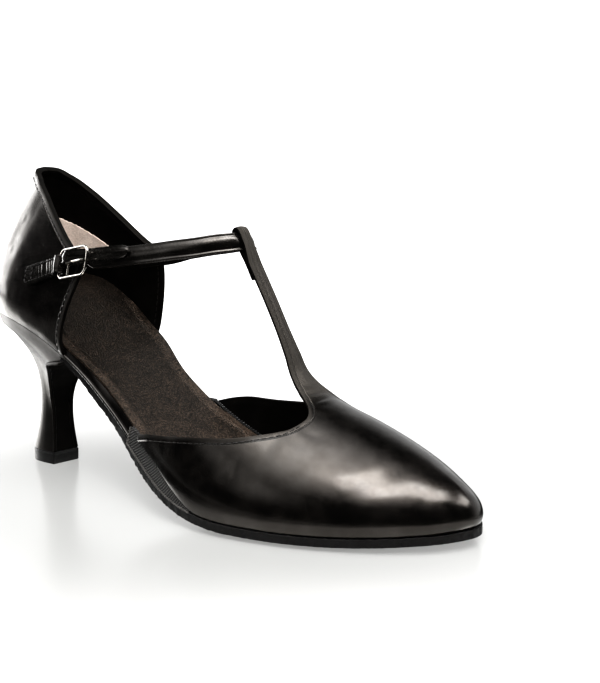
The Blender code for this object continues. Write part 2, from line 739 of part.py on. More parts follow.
def build_lift(finish: bpy.types.Material) -> bpy.types.Object:
    """Flat lift under the heel."""
    low, high = heel_plan()
    last = HEEL[-1]
    ring = np.concatenate([low, high[-2::-1]])
    depth = (HEEL_FRONT - ring[:, 0]) / (HEEL_FRONT - HEEL[0].back)
    wide = ring[:, 1] / HEEL[0].half
    x = last.breast + LIFT_LEDGE - depth * (last.breast + 2 * LIFT_LEDGE - last.back)
    y = wide * (last.half + LIFT_LEDGE)
    count = len(ring)
    points = np.concatenate([np.stack([x, y, 0 * x + LIFT_HEIGHT], 1), np.stack([x, y, 0 * x], 1)])
    faces = [tuple(range(count)), tuple(range(count, 2 * count))]
    for k in range(count):
        m = (k + 1) % count
        faces.append((k, m, m + count, k + count))
    return node("heel_lift", points, faces, finish)


def build_rib(name: str, side: int, finish: bpy.types.Material) -> bpy.types.Object:
    """Ribbed lasting margin between the vamp's rear edge and the outsole."""
    rear = LATERAL_REAR if side == LATERAL else MEDIAL_REAR
    feet = np.linspace(rear - RIB_BACK_STEP, RIB_FRONT, 12)
    mark = np.array([mark_at(x) for x in feet])
    edge = foot_edge(side, mark)
    out = outward(side, mark)
    outer = edge + out * (GAP + RIB_THICK)
    low = outer.copy()
    low[:, 2] = edge[:, 2] - column("board", mark)
    high = outer.copy()
    edge_name = "low_lateral" if side == LATERAL else "low_medial"
    high[:, 2] = np.minimum(edge[:, 2] + RIB_RISE, table(VAMP, "x", edge_name, feet) - GAP - 0.1)
    high[:, 2] = np.maximum(high[:, 2], low[:, 2] + RIB_LEAST)
    share = np.linspace(0, 1, 4)[None, :, None]
    grid = low[:, None] * (1 - share) + high[:, None] * share
    inner = grid - (out * RIB_THICK)[:, None]
    return slab(name, grid, inner, finish)


def build_strap(finish: bpy.types.Material) -> bpy.types.Object:
    """Ankle strap: from inside the medial quarter through the loop and back round the buckle bar."""
    body, body_up = path_points(STRAP_PATH, 40)
    x = np.array(STRAP_END)
    z = STRAP_END_Z + (x - x[0]) * STRAP_END_SLOPE
    face, normal = quarter_at(MEDIAL, np.minimum(x, QUARTER_FRONT), z)
    inside = face - normal * (UPPER_WALL + GAP + STRAP_THICK / 2)
    inside[:, 0] += x - np.minimum(x, QUARTER_FRONT)
    body = np.concatenate([body, inside])
    body_up = np.concatenate([body_up, np.tile(body_up[-1], (len(x), 1))])
    start = body[0]
    run = (body[1] - body[0]) / np.linalg.norm(body[1] - body[0])
    away = np.cross(run, body_up[0])
    away = away / np.linalg.norm(away)
    radius = WIRE_RADIUS + GAP + STRAP_THICK / 2 + 0.15
    angle = np.linspace(0, np.pi, 9)[1:, None]
    turn = start - run * radius * np.sin(angle) + away * radius * (1 - np.cos(angle))
    near = body[1:][(body[1:, 0] < TAIL_TIP) & (body[1:, 1] < 0.0)]
    near_up = body_up[1:len(near) + 1]
    side = np.cross(np.gradient(body, axis=0)[1:len(near) + 1], near_up)
    side = side / np.linalg.norm(side, axis=1, keepdims=True)
    tail = near + side * table(TAIL, "x", "off", near[:, 0])[:, None]
    path = np.concatenate([body[::-1], turn, tail])
    ups = np.concatenate([body_up[::-1], np.tile(body_up[0], (len(turn), 1)), near_up])
    section = ribbon_section(STRAP_WIDTH, STRAP_THICK, 0.4)
    return sweep("ankle_strap", path, ups, section, False, finish)


def frame_axes() -> tuple:
    """Buckle frame: middle of the left bar, run to the right bar, up and length."""
    left = np.array(BUCKLE_LEFT)
    run = np.array(BUCKLE_RIGHT) - left
    length = np.linalg.norm(run)
    run = run / length
    up = np.array(BUCKLE_UP)
    up = up - run * (up @ run)
    return left, run, up / np.linalg.norm(up), length


def build_buckle(finish: bpy.types.Material) -> bpy.types.Object:
    """Wire buckle frame with its middle bar."""
    left, run, up, length = frame_axes()
    high = BUCKLE_HALF
    corner = BUCKLE_CORNER
    path = []
    corners = ((length - corner, high - corner, 0), (corner, high - corner, 90),
               (corner, -high + corner, 180), (length - corner, -high + corner, 270))
    for cx, cy, turn in corners:
        for a in np.radians(turn + np.linspace(0, 90, 5)):
            path.append(left + run * (cx + corner * np.cos(a)) + up * (cy + corner * np.sin(a)))
    path = np.array(path)
    normal = np.cross(run, up)
    angles = np.linspace(0, 2 * np.pi, 9)[:-1]
    ring = [(WIRE_RADIUS * np.cos(a), WIRE_RADIUS * np.sin(a)) for a in angles]
    thin = [(BAR_SHARE * a, BAR_SHARE * b) for a, b in ring]
    frame = sweep("buckle", path, np.tile(normal, (len(path), 1)), ring, True, finish)
    ends = [left + run * BAR_STEP + up * s for s in (-high + 0.1, 0.0, high - 0.1)]
    bar = sweep("buckle_bar", np.array(ends), np.tile(normal, (3, 1)), thin, False, finish)
    join = frame.modifiers.new("bar", "BOOLEAN")
    join.operation = "UNION"
    join.solver = "EXACT"
    join.object = bar
    bar.hide_render = True
    bar.display_type = "WIRE"
    return frame


def build_tab(finish: bpy.types.Material) -> bpy.types.Object:
    """Short strap on the outer quarter that holds the buckle."""
    left, run, up, _ = frame_axes()
    x = np.linspace(TAB_REAR, TAB_FRONT, 9)
    z = TAB_REAR_Z + (x - TAB_REAR) * TAB_SLOPE
    face, normal = quarter_at(LATERAL, x, z)
    inner = face + normal * (GAP + TAB_THICK / 2)
    outer = face + normal * (GAP * 2 + TAB_THICK * 1.5)
    radius = WIRE_RADIUS + GAP + TAB_THICK / 2
    away = np.cross(run, up)
    turn = []
    for a in np.linspace(-np.pi / 2, np.pi / 2, 9):
        turn.append(left + run * radius * np.cos(a) + away * radius * np.sin(a))
    turn = np.array(turn)
    if turn[0, 1] < turn[-1, 1]:
        turn = turn[::-1]
    path = np.concatenate([inner, turn, outer[::-1]])
    ups = np.tile(up, (len(path), 1))
    section = ribbon_section(TAB_WIDTH, TAB_THICK, 0.3)
    return sweep("buckle_tab", path, ups, section, False, finish)


def centre(pieces: list) -> None:
    """Put the middle of the shoe's footprint over the origin, standing on the floor."""
    corners = np.array([vertex.co[:] for piece in pieces for vertex in piece.data.vertices])
    low = corners.min(axis=0)
    high = corners.max(axis=0)
    move = np.array([(low[0] + high[0]) / 2, (low[1] + high[1]) / 2, low[2]])
    for piece in pieces:
        for vertex in piece.data.vertices:
            vertex.co = [float(a - b) for a, b in zip(vertex.co, move)]


def main() -> None:
    """Build every piece of the shoe."""
    for old in list(bpy.data.objects):
        bpy.data.objects.remove(old, do_unlink=True)
    leather = material("black_leather", (0.012, 0.011, 0.011), 0.32, 0.0)
    sock = material("brown_sock", (0.03, 0.024, 0.02), 0.5, 0.0)
    suede = material("black_suede", (0.015, 0.014, 0.014), 0.95, 0.0)
    rubber = material("dark_rubber", (0.03, 0.03, 0.032), 0.6, 0.0)
    metal = material("plated_metal", (0.6, 0.58, 0.55), 0.25, 1.0)
    build_insole(sock)
    build_outsole(suede)
    build_vamp(leather)
    build_quarter(leather)
    build_heel(leather)
    build_lift(rubber)
    build_rib("margin_lateral", LATERAL, suede)
    build_rib("margin_medial", MEDIAL, suede)
    build_strap(leather)
    build_buckle(metal)
    build_tab(leather)
    centre([piece for piece in bpy.data.objects if piece.type == "MESH"])


main()
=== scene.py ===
"""Looks of a right ballroom dance shoe: closed toe, open sides, T-strap, ankle strap and flared heel.

Sizes are millimetres in the shoe's own frame unless a name says metres.  X runs from the heel to the
toe, the outer side of the foot lies toward -Y and Z points up from the floor.
"""
from __future__ import annotations

import json
import logging
import math
import random
from contextlib import contextmanager
from dataclasses import dataclass, field
from enum import Enum, IntEnum
from functools import cached_property
from typing import Any, Callable, Iterator, NamedTuple, Sequence

import bpy
import numpy as np
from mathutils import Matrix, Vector

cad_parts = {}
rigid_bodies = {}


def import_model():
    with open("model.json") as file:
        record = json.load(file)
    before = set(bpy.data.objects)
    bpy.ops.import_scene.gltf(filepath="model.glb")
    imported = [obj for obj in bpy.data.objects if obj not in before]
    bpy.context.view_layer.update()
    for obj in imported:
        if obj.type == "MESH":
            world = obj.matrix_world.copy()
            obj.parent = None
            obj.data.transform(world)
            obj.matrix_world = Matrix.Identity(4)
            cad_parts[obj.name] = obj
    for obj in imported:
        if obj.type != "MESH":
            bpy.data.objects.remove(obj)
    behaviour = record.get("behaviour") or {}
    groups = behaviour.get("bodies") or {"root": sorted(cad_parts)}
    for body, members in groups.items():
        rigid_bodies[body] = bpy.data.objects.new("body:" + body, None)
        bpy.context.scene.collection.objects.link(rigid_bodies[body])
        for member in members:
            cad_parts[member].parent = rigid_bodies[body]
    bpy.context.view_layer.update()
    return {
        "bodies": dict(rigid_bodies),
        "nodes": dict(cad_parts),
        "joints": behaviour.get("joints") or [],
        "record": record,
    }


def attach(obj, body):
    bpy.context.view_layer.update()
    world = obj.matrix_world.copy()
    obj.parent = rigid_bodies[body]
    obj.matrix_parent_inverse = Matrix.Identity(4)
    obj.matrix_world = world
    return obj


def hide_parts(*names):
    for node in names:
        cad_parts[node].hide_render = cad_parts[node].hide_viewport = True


MM = 0.001
LOG = logging.getLogger("dance_shoe")
UP = np.array([0.0, 0.0, 1.0])
ACROSS = np.array([0.0, 1.0, 0.0])
Piece = bpy.types.Object
Finish = bpy.types.Material
Triple = tuple[float, float, float]


class Side(IntEnum):
    """Side of the foot; the value is the sign of Y."""

    LATERAL = -1
    MEDIAL = 1


class Slot(Enum):
    """Material slots of the record."""

    LEATHER = "black_leather"
    SOCK = "brown_sock"
    SUEDE = "black_suede"
    RUBBER = "dark_rubber"
    METAL = "plated_metal"


class Section(NamedTuple):
    """One section of the last: half widths and heights at the insole's edge."""

    x: float
    lateral: float
    medial: float
    edge: float
    arch: float
    board: float
    sole: float
    dish: float


class Ridge(NamedTuple):
    """One point of the line over the top of the foot."""

    x: float
    y: float
    z: float


class VampRow(NamedTuple):
    """One column of the vamp: its lower edges, top edges and fullness."""

    x: float
    low_lateral: float
    low_medial: float
    top_lateral: float
    top_medial: float
    bulge: float


class FlareRow(NamedTuple):
    """Half width of the T-strap at a place on the ridge."""

    x: float
    half: float


class Topline(NamedTuple):
    """One column of the heel quarter: its place at the foot and at the top edge."""

    foot: float
    x: float
    lead: float
    half: float
    z: float
    low: float
    high: float
    bow_lateral: float
    bow_medial: float


class HeelRow(NamedTuple):
    """One level of the heel between the seat and the lift."""

    fall: float
    back: float
    breast: float
    half: float


class PathRow(NamedTuple):
    """One point of a strap: its centre and the tilt of its face."""

    x: float
    y: float
    z: float
    tilt: float


class TailRow(NamedTuple):
    """How far the strap's tail lies outside the strap."""

    x: float
    off: float


class Crease(NamedTuple):
    """A soft trough in the leather along a few points; a negative depth makes a ridge."""

    points: tuple[Triple, ...]
    width: float
    depth: float


SECTIONS = tuple(map(Section._make, (
    (6.2, 0.0, 0.0, 67.2, 0.0, 4.0, 2.4, 0.0),
    (8.6, 10.0, 10.0, 67.2, 0.0, 4.0, 2.4, 0.8),
    (15.0, 17.8, 18.0, 66.9, 0.0, 4.0, 2.4, 1.4),
    (25.0, 22.6, 23.2, 66.0, 0.0, 4.0, 2.4, 1.8),
    (37.0, 24.6, 25.2, 63.6, 0.3, 4.0, 2.4, 1.8),
    (50.0, 24.9, 25.0, 59.5, 1.0, 4.4, 2.4, 1.4),
    (70.0, 24.6, 21.9, 49.3, 2.2, 4.8, 2.4, 1.0),
    (90.0, 26.6, 17.8, 36.4, 2.3, 4.8, 2.4, 0.8),
    (110.0, 31.8, 18.4, 24.2, 1.9, 4.6, 2.4, 0.8),
    (130.0, 37.2, 24.4, 13.6, 1.3, 4.0, 2.5, 1.1),
    (150.0, 39.6, 31.4, 8.4, 0.4, 3.0, 2.6, 1.6),
    (170.0, 37.3, 35.6, 7.2, 0.0, 2.6, 2.6, 1.9),
    (190.0, 31.0, 33.7, 7.2, 0.0, 2.6, 2.6, 1.8),
    (204.5, 23.6, 28.4, 7.7, 0.0, 2.6, 2.6, 1.4),
    (216.5, 14.4, 20.9, 8.4, 0.0, 2.6, 2.6, 0.9),
    (224.3, 6.0, 14.3, 9.0, 0.0, 2.6, 2.6, 0.4),
    (228.4, -5.4, 5.4, 9.4, 0.0, 2.6, 2.6, 0.0),
)))
RIDGE = tuple(map(Ridge._make, (
    (100.0, 0.0, 150.0),
    (133.4, 0.0, 91.5),
    (142.7, 0.3, 76.0),
    (150.0, 0.8, 64.0),
    (156.0, 1.4, 54.2),
    (161.0, 1.9, 48.0),
    (166.0, 2.4, 44.2),
    (172.0, 3.0, 41.8),
    (185.0, 4.0, 37.4),
    (200.0, 4.8, 31.8),
    (211.0, 5.2, 27.0),
    (221.0, 5.4, 21.8),
    (226.0, 5.4, 18.8),
)))
VAMP = tuple(map(VampRow._make, (
    (101.0, 28.5, 30.8, 27.6, 31.4, 0.5),
    (108.5, 26.4, 26.2, 27.6, 33.4, 0.9),
    (116.0, 23.2, 21.8, 29.0, 34.5, 1.4),
    (123.0, 19.4, 17.8, 29.8, 34.7, 1.8),
    (131.0, 14.0, 13.4, 30.8, 34.9, 2.3),
    (138.5, 9.4, 9.8, 31.7, 35.2, 2.7),
    (146.0, 6.0, 6.4, 32.5, 35.6, 3.0),
    (154.0, 5.3, 5.3, 33.3, 36.1, 3.2),
    (160.0, 5.1, 5.1, 34.1, 36.5, 3.2),
    (165.0, 4.9, 4.9, 35.0, 37.0, 3.2),
    (168.0, 4.9, 4.9, 36.2, 37.7, 3.2),
    (170.5, 4.8, 4.8, 38.5, 38.9, 3.2),
    (190.0, 4.8, 4.8, 41.0, 41.0, 3.4),
    (216.5, 6.0, 6.0, 41.0, 41.0, 3.6),
    (228.4, 7.0, 7.0, 41.0, 41.0, 3.8),
)))
FLARE = tuple(map(FlareRow._make, (
    (142.0, 3.2),
    (150.0, 3.4),
    (156.0, 4.4),
    (160.8, 6.0),
    (164.4, 7.9),
    (166.6, 9.2),
    (168.4, 10.8),
    (169.6, 12.4),
    (170.5, 14.4),
)))
TOPLINE = tuple(map(Topline._make, (
    (6.2, 23.8, 0.0, 0.0, 119.2, 3.8, 6.6, 0.0, 0.0),
    (8.6, 25.0, 0.0, 4.4, 118.8, 3.7, 6.2, 0.0, 0.0),
    (15.0, 30.2, 0.0, 8.9, 115.8, 3.2, 5.6, 0.0, 0.0),
    (25.0, 39.0, 0.0, 13.0, 109.6, 2.4, 5.0, 0.0, 0.0),
    (37.0, 49.4, 0.4, 17.2, 100.6, 1.8, 4.4, -0.4, 0.0),
    (50.0, 59.6, 1.6, 20.5, 91.8, 1.6, 4.0, -1.4, 0.6),
    (62.0, 67.6, 3.8, 22.3, 86.6, 1.5, 3.6, -3.2, 1.2),
)))
HEEL = tuple(map(HeelRow._make, (
    (0.0, 5.7, 62.0, 25.8),
    (0.04, 6.5, 61.6, 24.7),
    (0.064, 7.0, 58.0, 23.7),
    (0.086, 7.4, 51.0, 22.0),
    (0.108, 8.1, 45.4, 19.5),
    (0.14, 9.5, 41.6, 16.6),
    (0.2, 12.2, 38.2, 13.2),
    (0.3, 17.2, 34.6, 9.6),
    (0.4, 20.6, 32.8, 7.6),
    (0.5, 22.0, 32.0, 6.4),
    (0.65, 22.1, 32.0, 5.6),
    (0.8, 20.9, 32.4, 5.8),
    (0.9, 19.3, 32.9, 6.2),
    (1.0, 17.4, 33.4, 6.8),
)))
STRAP_PATH = tuple(map(PathRow._make, (
    (67.4, -24.5, 86.1, 0.0),
    (72.0, -24.7, 86.9, 0.0),
    (79.0, -24.8, 88.1, 0.0),
    (87.0, -24.3, 89.3, 0.02),
    (96.0, -22.8, 90.6, 0.05),
    (104.3, -20.6, 91.9, 0.1),
    (113.0, -17.6, 93.4, 0.18),
    (121.0, -13.8, 94.7, 0.3),
    (126.3, -9.4, 95.8, 0.41),
    (131.0, -4.4, 96.45, 0.52),
    (131.8, 0.0, 96.6, 0.53),
    (131.0, 4.4, 96.45, 0.52),
    (126.3, 9.2, 95.8, 0.41),
    (121.0, 13.2, 95.2, 0.3),
    (113.0, 16.4, 93.6, 0.18),
    (104.3, 18.6, 92.0, 0.1),
    (94.0, 20.0, 90.3, 0.05),
    (84.0, 20.5, 88.4, 0.02),
)))
TAIL = tuple(map(TailRow._make, (
    (67.4, 4.2),
    (72.5, 3.3),
    (79.0, 1.95),
    (84.0, 1.9),
    (90.0, 1.87),
    (100.0, 1.85),
)))
VAMP_CREASES = (
    Crease(((201.0, -25.0, 16.5), (203.5, -20.4, 19.8), (206.2, -13.1, 23.6), (206.6, -5.0, 27.4)),
           4.6, 0.16),
    Crease(((197.0, -22.0, 22.0), (199.5, -14.0, 26.5), (200.5, -6.0, 30.2)), 5.0, -0.12),
    Crease(((163.5, -4.0, 45.6), (164.8, 1.0, 45.2), (164.2, 6.5, 45.0)), 0.9, 0.3),
    Crease(((167.2, -6.5, 42.4), (168.0, -1.0, 43.2), (167.6, 4.0, 43.4)), 0.8, 0.22),
    Crease(((169.8, -5.5, 41.6), (171.5, 0.5, 42.0), (170.6, 6.0, 42.2)), 1.2, 0.16),
    Crease(((160.8, -3.0, 48.4), (161.6, 1.8, 47.6), (161.0, 5.2, 48.0)), 0.9, 0.22),
    Crease(((170.0, -20.0, 34.6), (173.5, -21.5, 32.6), (177.0, -21.5, 31.8)), 1.5, 0.14),
    Crease(((172.5, -16.0, 36.0), (176.5, -16.5, 34.8), (180.5, -15.5, 34.4)), 1.6, 0.16),
    Crease(((140.0, -38.0, 24.0), (150.0, -38.5, 22.0), (160.0, -37.0, 21.0)), 6.0, 0.18),
)
QUARTER_CREASES = (
    Crease(((20.0, -12.0, 104.0), (17.0, -17.0, 92.0), (14.5, -20.0, 80.0)), 2.6, 0.22),
    Crease(((29.0, -15.5, 100.0), (26.0, -20.0, 88.0)), 3.0, 0.18),
    Crease(((40.0, -25.5, 74.0), (48.0, -26.5, 70.0), (55.0, -26.0, 68.0)), 4.0, 0.14),
    Crease(((12.0, -17.5, 74.0), (20.0, -23.0, 72.5), (30.0, -25.5, 71.5)), 4.0, 0.16),
)


def blend(rows: np.ndarray, marks: np.ndarray, at: np.ndarray) -> np.ndarray:
    """Read a smooth curve through rows.

    Args:
        rows: One row of values for each mark.
        marks: Rising places of the rows.
        at: Places to read.

    Returns:
        The values at those places.
    """
    rows = np.asarray(rows, float)
    marks = np.asarray(marks, float)
    at = np.asarray(at, float)
    step = np.diff(marks)
    slope = np.diff(rows, axis=0) / step[:, None]
    lean = np.empty_like(rows)
    lean[0] = slope[0]
    lean[-1] = slope[-1]
    share = (step[:-1] / (step[1:] + step[:-1]))[:, None]
    lean[1:-1] = (1 - share) * slope[:-1] + share * slope[1:]
    place = np.clip(np.searchsorted(marks, at, side="right") - 1, 0, len(marks) - 2)
    width = step[place][..., None]
    s = (at - marks[place])[..., None] / width
    rise = 3 * s**2 - 2 * s**3
    start = width * (s**3 - 2 * s**2 + s) * lean[place]
    end = width * (s**3 - s**2) * lean[place + 1]
    return rows[place] * (1 - rise) + rows[place + 1] * rise + start + end


def column(rows: Sequence[NamedTuple], key: str, name: str, at: Any) -> np.ndarray:
    """Read one column of a table smoothly along its key column.

    Args:
        rows: The table.
        key: Name of the column that holds the marks.
        name: Name of the column to read.
        at: Places to read, kept inside the table.

    Returns:
        The values at those places.
    """
    marks = np.array([getattr(row, key) for row in rows])
    values = np.array([[getattr(row, name)] for row in rows])
    return blend(values, marks, np.clip(at, marks[0], marks[-1]))[..., 0]


def ease(low: float, high: float, value: Any) -> np.ndarray:
    """Smooth step of a value between two limits, from 0 to 1."""
    t = np.clip((np.asarray(value, float) - low) / (high - low), 0.0, 1.0)
    return t * t * (3 - 2 * t)


def unit(vectors: np.ndarray) -> np.ndarray:
    """Vectors of length one."""
    return vectors / np.maximum(np.linalg.norm(vectors, axis=-1, keepdims=True), 1e-12)


def bezier(a: np.ndarray, b: np.ndarray, c: np.ndarray, d: np.ndarray, s: Any) -> np.ndarray:
    """Cubic curve from a to d with handles b and c."""
    s = np.asarray(s, float)[..., None]
    return a * (1 - s) ** 3 + 3 * b * s * (1 - s) ** 2 + 3 * c * s**2 * (1 - s) + d * s**3


def lengths(points: np.ndarray) -> np.ndarray:
    """Distance along a line of points at each of them."""
    return np.concatenate([[0.0], np.cumsum(np.linalg.norm(np.diff(points, axis=0), axis=1))])


def read_line(points: np.ndarray, marks: np.ndarray, at: np.ndarray) -> np.ndarray:
    """Points of a line at places along it."""
    return np.stack([np.interp(at, marks, points[:, k]) for k in range(3)], axis=1)


def spaced(points: np.ndarray, count: int) -> np.ndarray:
    """The same line with evenly spaced points."""
    marks = lengths(points)
    return read_line(points, marks, np.linspace(0.0, marks[-1], count))


def through(knots: np.ndarray, count: int) -> np.ndarray:
    """Points of the smooth curve through knots."""
    marks = lengths(knots)
    return blend(knots, marks, np.linspace(0.0, marks[-1], count))


def set_back(points: np.ndarray, places: np.ndarray, inset: float) -> float:
    """Place on a line of points that lies an inset before its end."""
    marks = lengths(points)
    return float(np.interp(-inset, marks - marks[-1], places))


def circle(radius: float, count: int) -> np.ndarray:
    """Round section of a bead or a wire."""
    angles = np.linspace(0, 2 * np.pi, count, endpoint=False)
    return radius * np.stack([np.cos(angles), np.sin(angles)], axis=1)


def distance_to(points: np.ndarray, line: np.ndarray) -> np.ndarray:
    """Distance from each point to the nearest point of a dense line.

    Args:
        points: Points in the shoe's frame, in millimetres.
        line: The line's points.

    Returns:
        A distance for each point.
    """
    nearest = np.empty(len(points))
    for first in range(0, len(points), 2000):
        block = points[first:first + 2000]
        gaps = np.linalg.norm(block[:, None] - line[None], axis=2)
        nearest[first:first + 2000] = gaps.min(axis=1)
    return nearest


def named(word: str, side: int) -> str:
    """Name of a table's column for one side of the foot."""
    return f"{word}_{Side(side).name.lower()}"


@dataclass(frozen=True)
class Last:
    """The form that the shoe is made on."""

    sections: tuple[Section, ...] = SECTIONS
    ridge: tuple[Ridge, ...] = RIDGE

    @cached_property
    def marks(self) -> np.ndarray:
        """Distance along the outline for every section."""
        plan = np.array([(row.x, (row.lateral + row.medial) / 2) for row in self.sections])
        return lengths(plan)

    @cached_property
    def lookup(self) -> tuple[np.ndarray, np.ndarray]:
        """Outline x and mark pairs for reading a mark from x."""
        fine = np.linspace(self.marks[0], self.marks[-1], 4001)
        return self.edge(Side.LATERAL, fine)[:, 0], fine

    def rows(self, side: int) -> np.ndarray:
        """Insole edge of one side at the sections.

        Args:
            side: Side of the foot.

        Returns:
            A point for each section.
        """
        found = []
        for row in self.sections:
            y = -row.lateral if side == Side.LATERAL else row.medial
            rise = row.arch if side == Side.MEDIAL else 0.0
            found.append((row.x, y, row.edge + rise))
        return np.array(found)

    def edge(self, side: int, mark: Any) -> np.ndarray:
        """Insole edge of one side at any mark; both ends run round into the other side.

        Args:
            side: Side of the foot.
            mark: Distance along the outline.

        Returns:
            A point for each mark.
        """
        near = self.rows(side)
        far = self.rows(-side)
        rows = np.concatenate([far[1:2], near, far[-2:-1]])
        ends = ([2 * self.marks[0] - self.marks[1]], [2 * self.marks[-1] - self.marks[-2]])
        return blend(rows, np.concatenate([ends[0], self.marks, ends[1]]), mark)

    def outward(self, side: int, mark: Any) -> np.ndarray:
        """Direction in plan that points away from the foot at the outline.

        Args:
            side: Side of the foot.
            mark: Distance along the outline.

        Returns:
            A unit vector for each mark.
        """
        mark = np.asarray(mark, float)
        run = self.edge(side, mark + 0.05) - self.edge(side, mark - 0.05)
        turn = np.stack([-run[..., 1], run[..., 0], 0 * run[..., 0]], axis=-1) * int(side)
        return unit(turn)

    def mark_at(self, x: Any) -> np.ndarray:
        """Mark where the outline passes a given x."""
        places, fine = self.lookup
        return np.where(np.asarray(x) >= self.sections[-1].x, self.marks[-1], np.interp(x, places, fine))

    def read(self, name: str, mark: Any) -> np.ndarray:
        """One column of the section table at any mark."""
        values = np.array([[getattr(row, name)] for row in self.sections])
        return blend(values, self.marks, mark)[..., 0]

    def ridge_point(self, x: Any) -> np.ndarray:
        """Point of the line over the top of the foot."""
        x = np.asarray(x, float)
        return np.stack([x, column(self.ridge, "x", "y", x), column(self.ridge, "x", "z", x)], axis=-1)

    def plate(self, mark: np.ndarray, across: np.ndarray, grow: np.ndarray) -> np.ndarray:
        """Dished grid between both edges of the last.

        Args:
            mark: Marks of the rows.
            across: Places across each row, from -1 on the outer side to 1.
            grow: How far each row reaches past the edge.

        Returns:
            Points in rows.
        """
        low = self.edge(Side.LATERAL, mark) + self.outward(Side.LATERAL, mark) * grow[:, None]
        high = self.edge(Side.MEDIAL, mark) + self.outward(Side.MEDIAL, mark) * grow[:, None]
        share = (across[None, :, None] + 1) / 2
        grid = low[:, None] * (1 - share) + high[:, None] * share
        grid[..., 2] -= self.read("dish", mark)[:, None] * (1 - across**2)[None, :]
        return grid


@dataclass(frozen=True)
class VampForm:
    """Outer face of the vamp over the last."""

    last: Last = Last()
    clear: float = 1.7
    side_rise: float = 0.42
    side_limit: float = 45.0
    fullness: float = 0.52
    medial_flat: float = 0.06
    toe_lean_from: float = 195.0
    toe_lean: float = 6.0

    def points(self, side: int, foot: float, rise: Any) -> np.ndarray:
        """One column from its lower edge to the ridge.

        Args:
            side: Side of the foot.
            foot: Where the column stands along the outline.
            rise: Places along the column, from 0 to 1.

        Returns:
            Points of the column.
        """
        mark = np.array([float(self.last.mark_at(foot))])
        out = self.last.outward(side, mark)[0]
        start = self.last.edge(side, mark)[0] + out * self.clear
        start[2] = float(column(VAMP, "x", named("low", side), foot))
        toe = max(0.0, (foot - self.toe_lean_from) / (self.last.sections[-1].x - self.toe_lean_from))
        climb = foot - self.toe_lean * toe**2
        top = self.last.ridge_point(climb)
        slope = (self.last.ridge_point(climb + 0.5) - self.last.ridge_point(climb - 0.5))[2]
        reach = np.linalg.norm(top[:2] - start[:2])
        bulge = float(column(VAMP, "x", "bulge", foot))
        first = start + out * bulge + UP * self.side_rise * min(top[2] - start[2], self.side_limit)
        full = self.fullness - self.medial_flat * max(0.0, out[1])
        second = top + out * reach * full
        second[2] += out[0] * reach * full * slope
        return bezier(start, first, second, top, rise)

    def share_at_height(self, side: int, foot: float) -> float:
        """Share of a column that lies below the top edge.

        Args:
            side: Side of the foot.
            foot: Place of the column along the foot.

        Returns:
            The share.
        """
        fine = np.linspace(0.0, 1.0, 400)
        z = np.maximum.accumulate(self.points(side, foot, fine)[:, 2])
        return float(np.interp(float(column(VAMP, "x", named("top", side), foot)), z, fine))

    def share_at_half(self, side: int, foot: float, half: float) -> float:
        """Share of a column that lies further from the ridge than a half width.

        Args:
            side: Side of the foot.
            foot: Place of the column along the foot.
            half: Half width of the strip over the ridge.

        Returns:
            The share.
        """
        fine = np.linspace(0.0, 1.0, 400)
        points = self.points(side, foot, fine)
        return float(np.interp(-half, -np.abs(points[:, 1] - points[-1, 1]), fine))


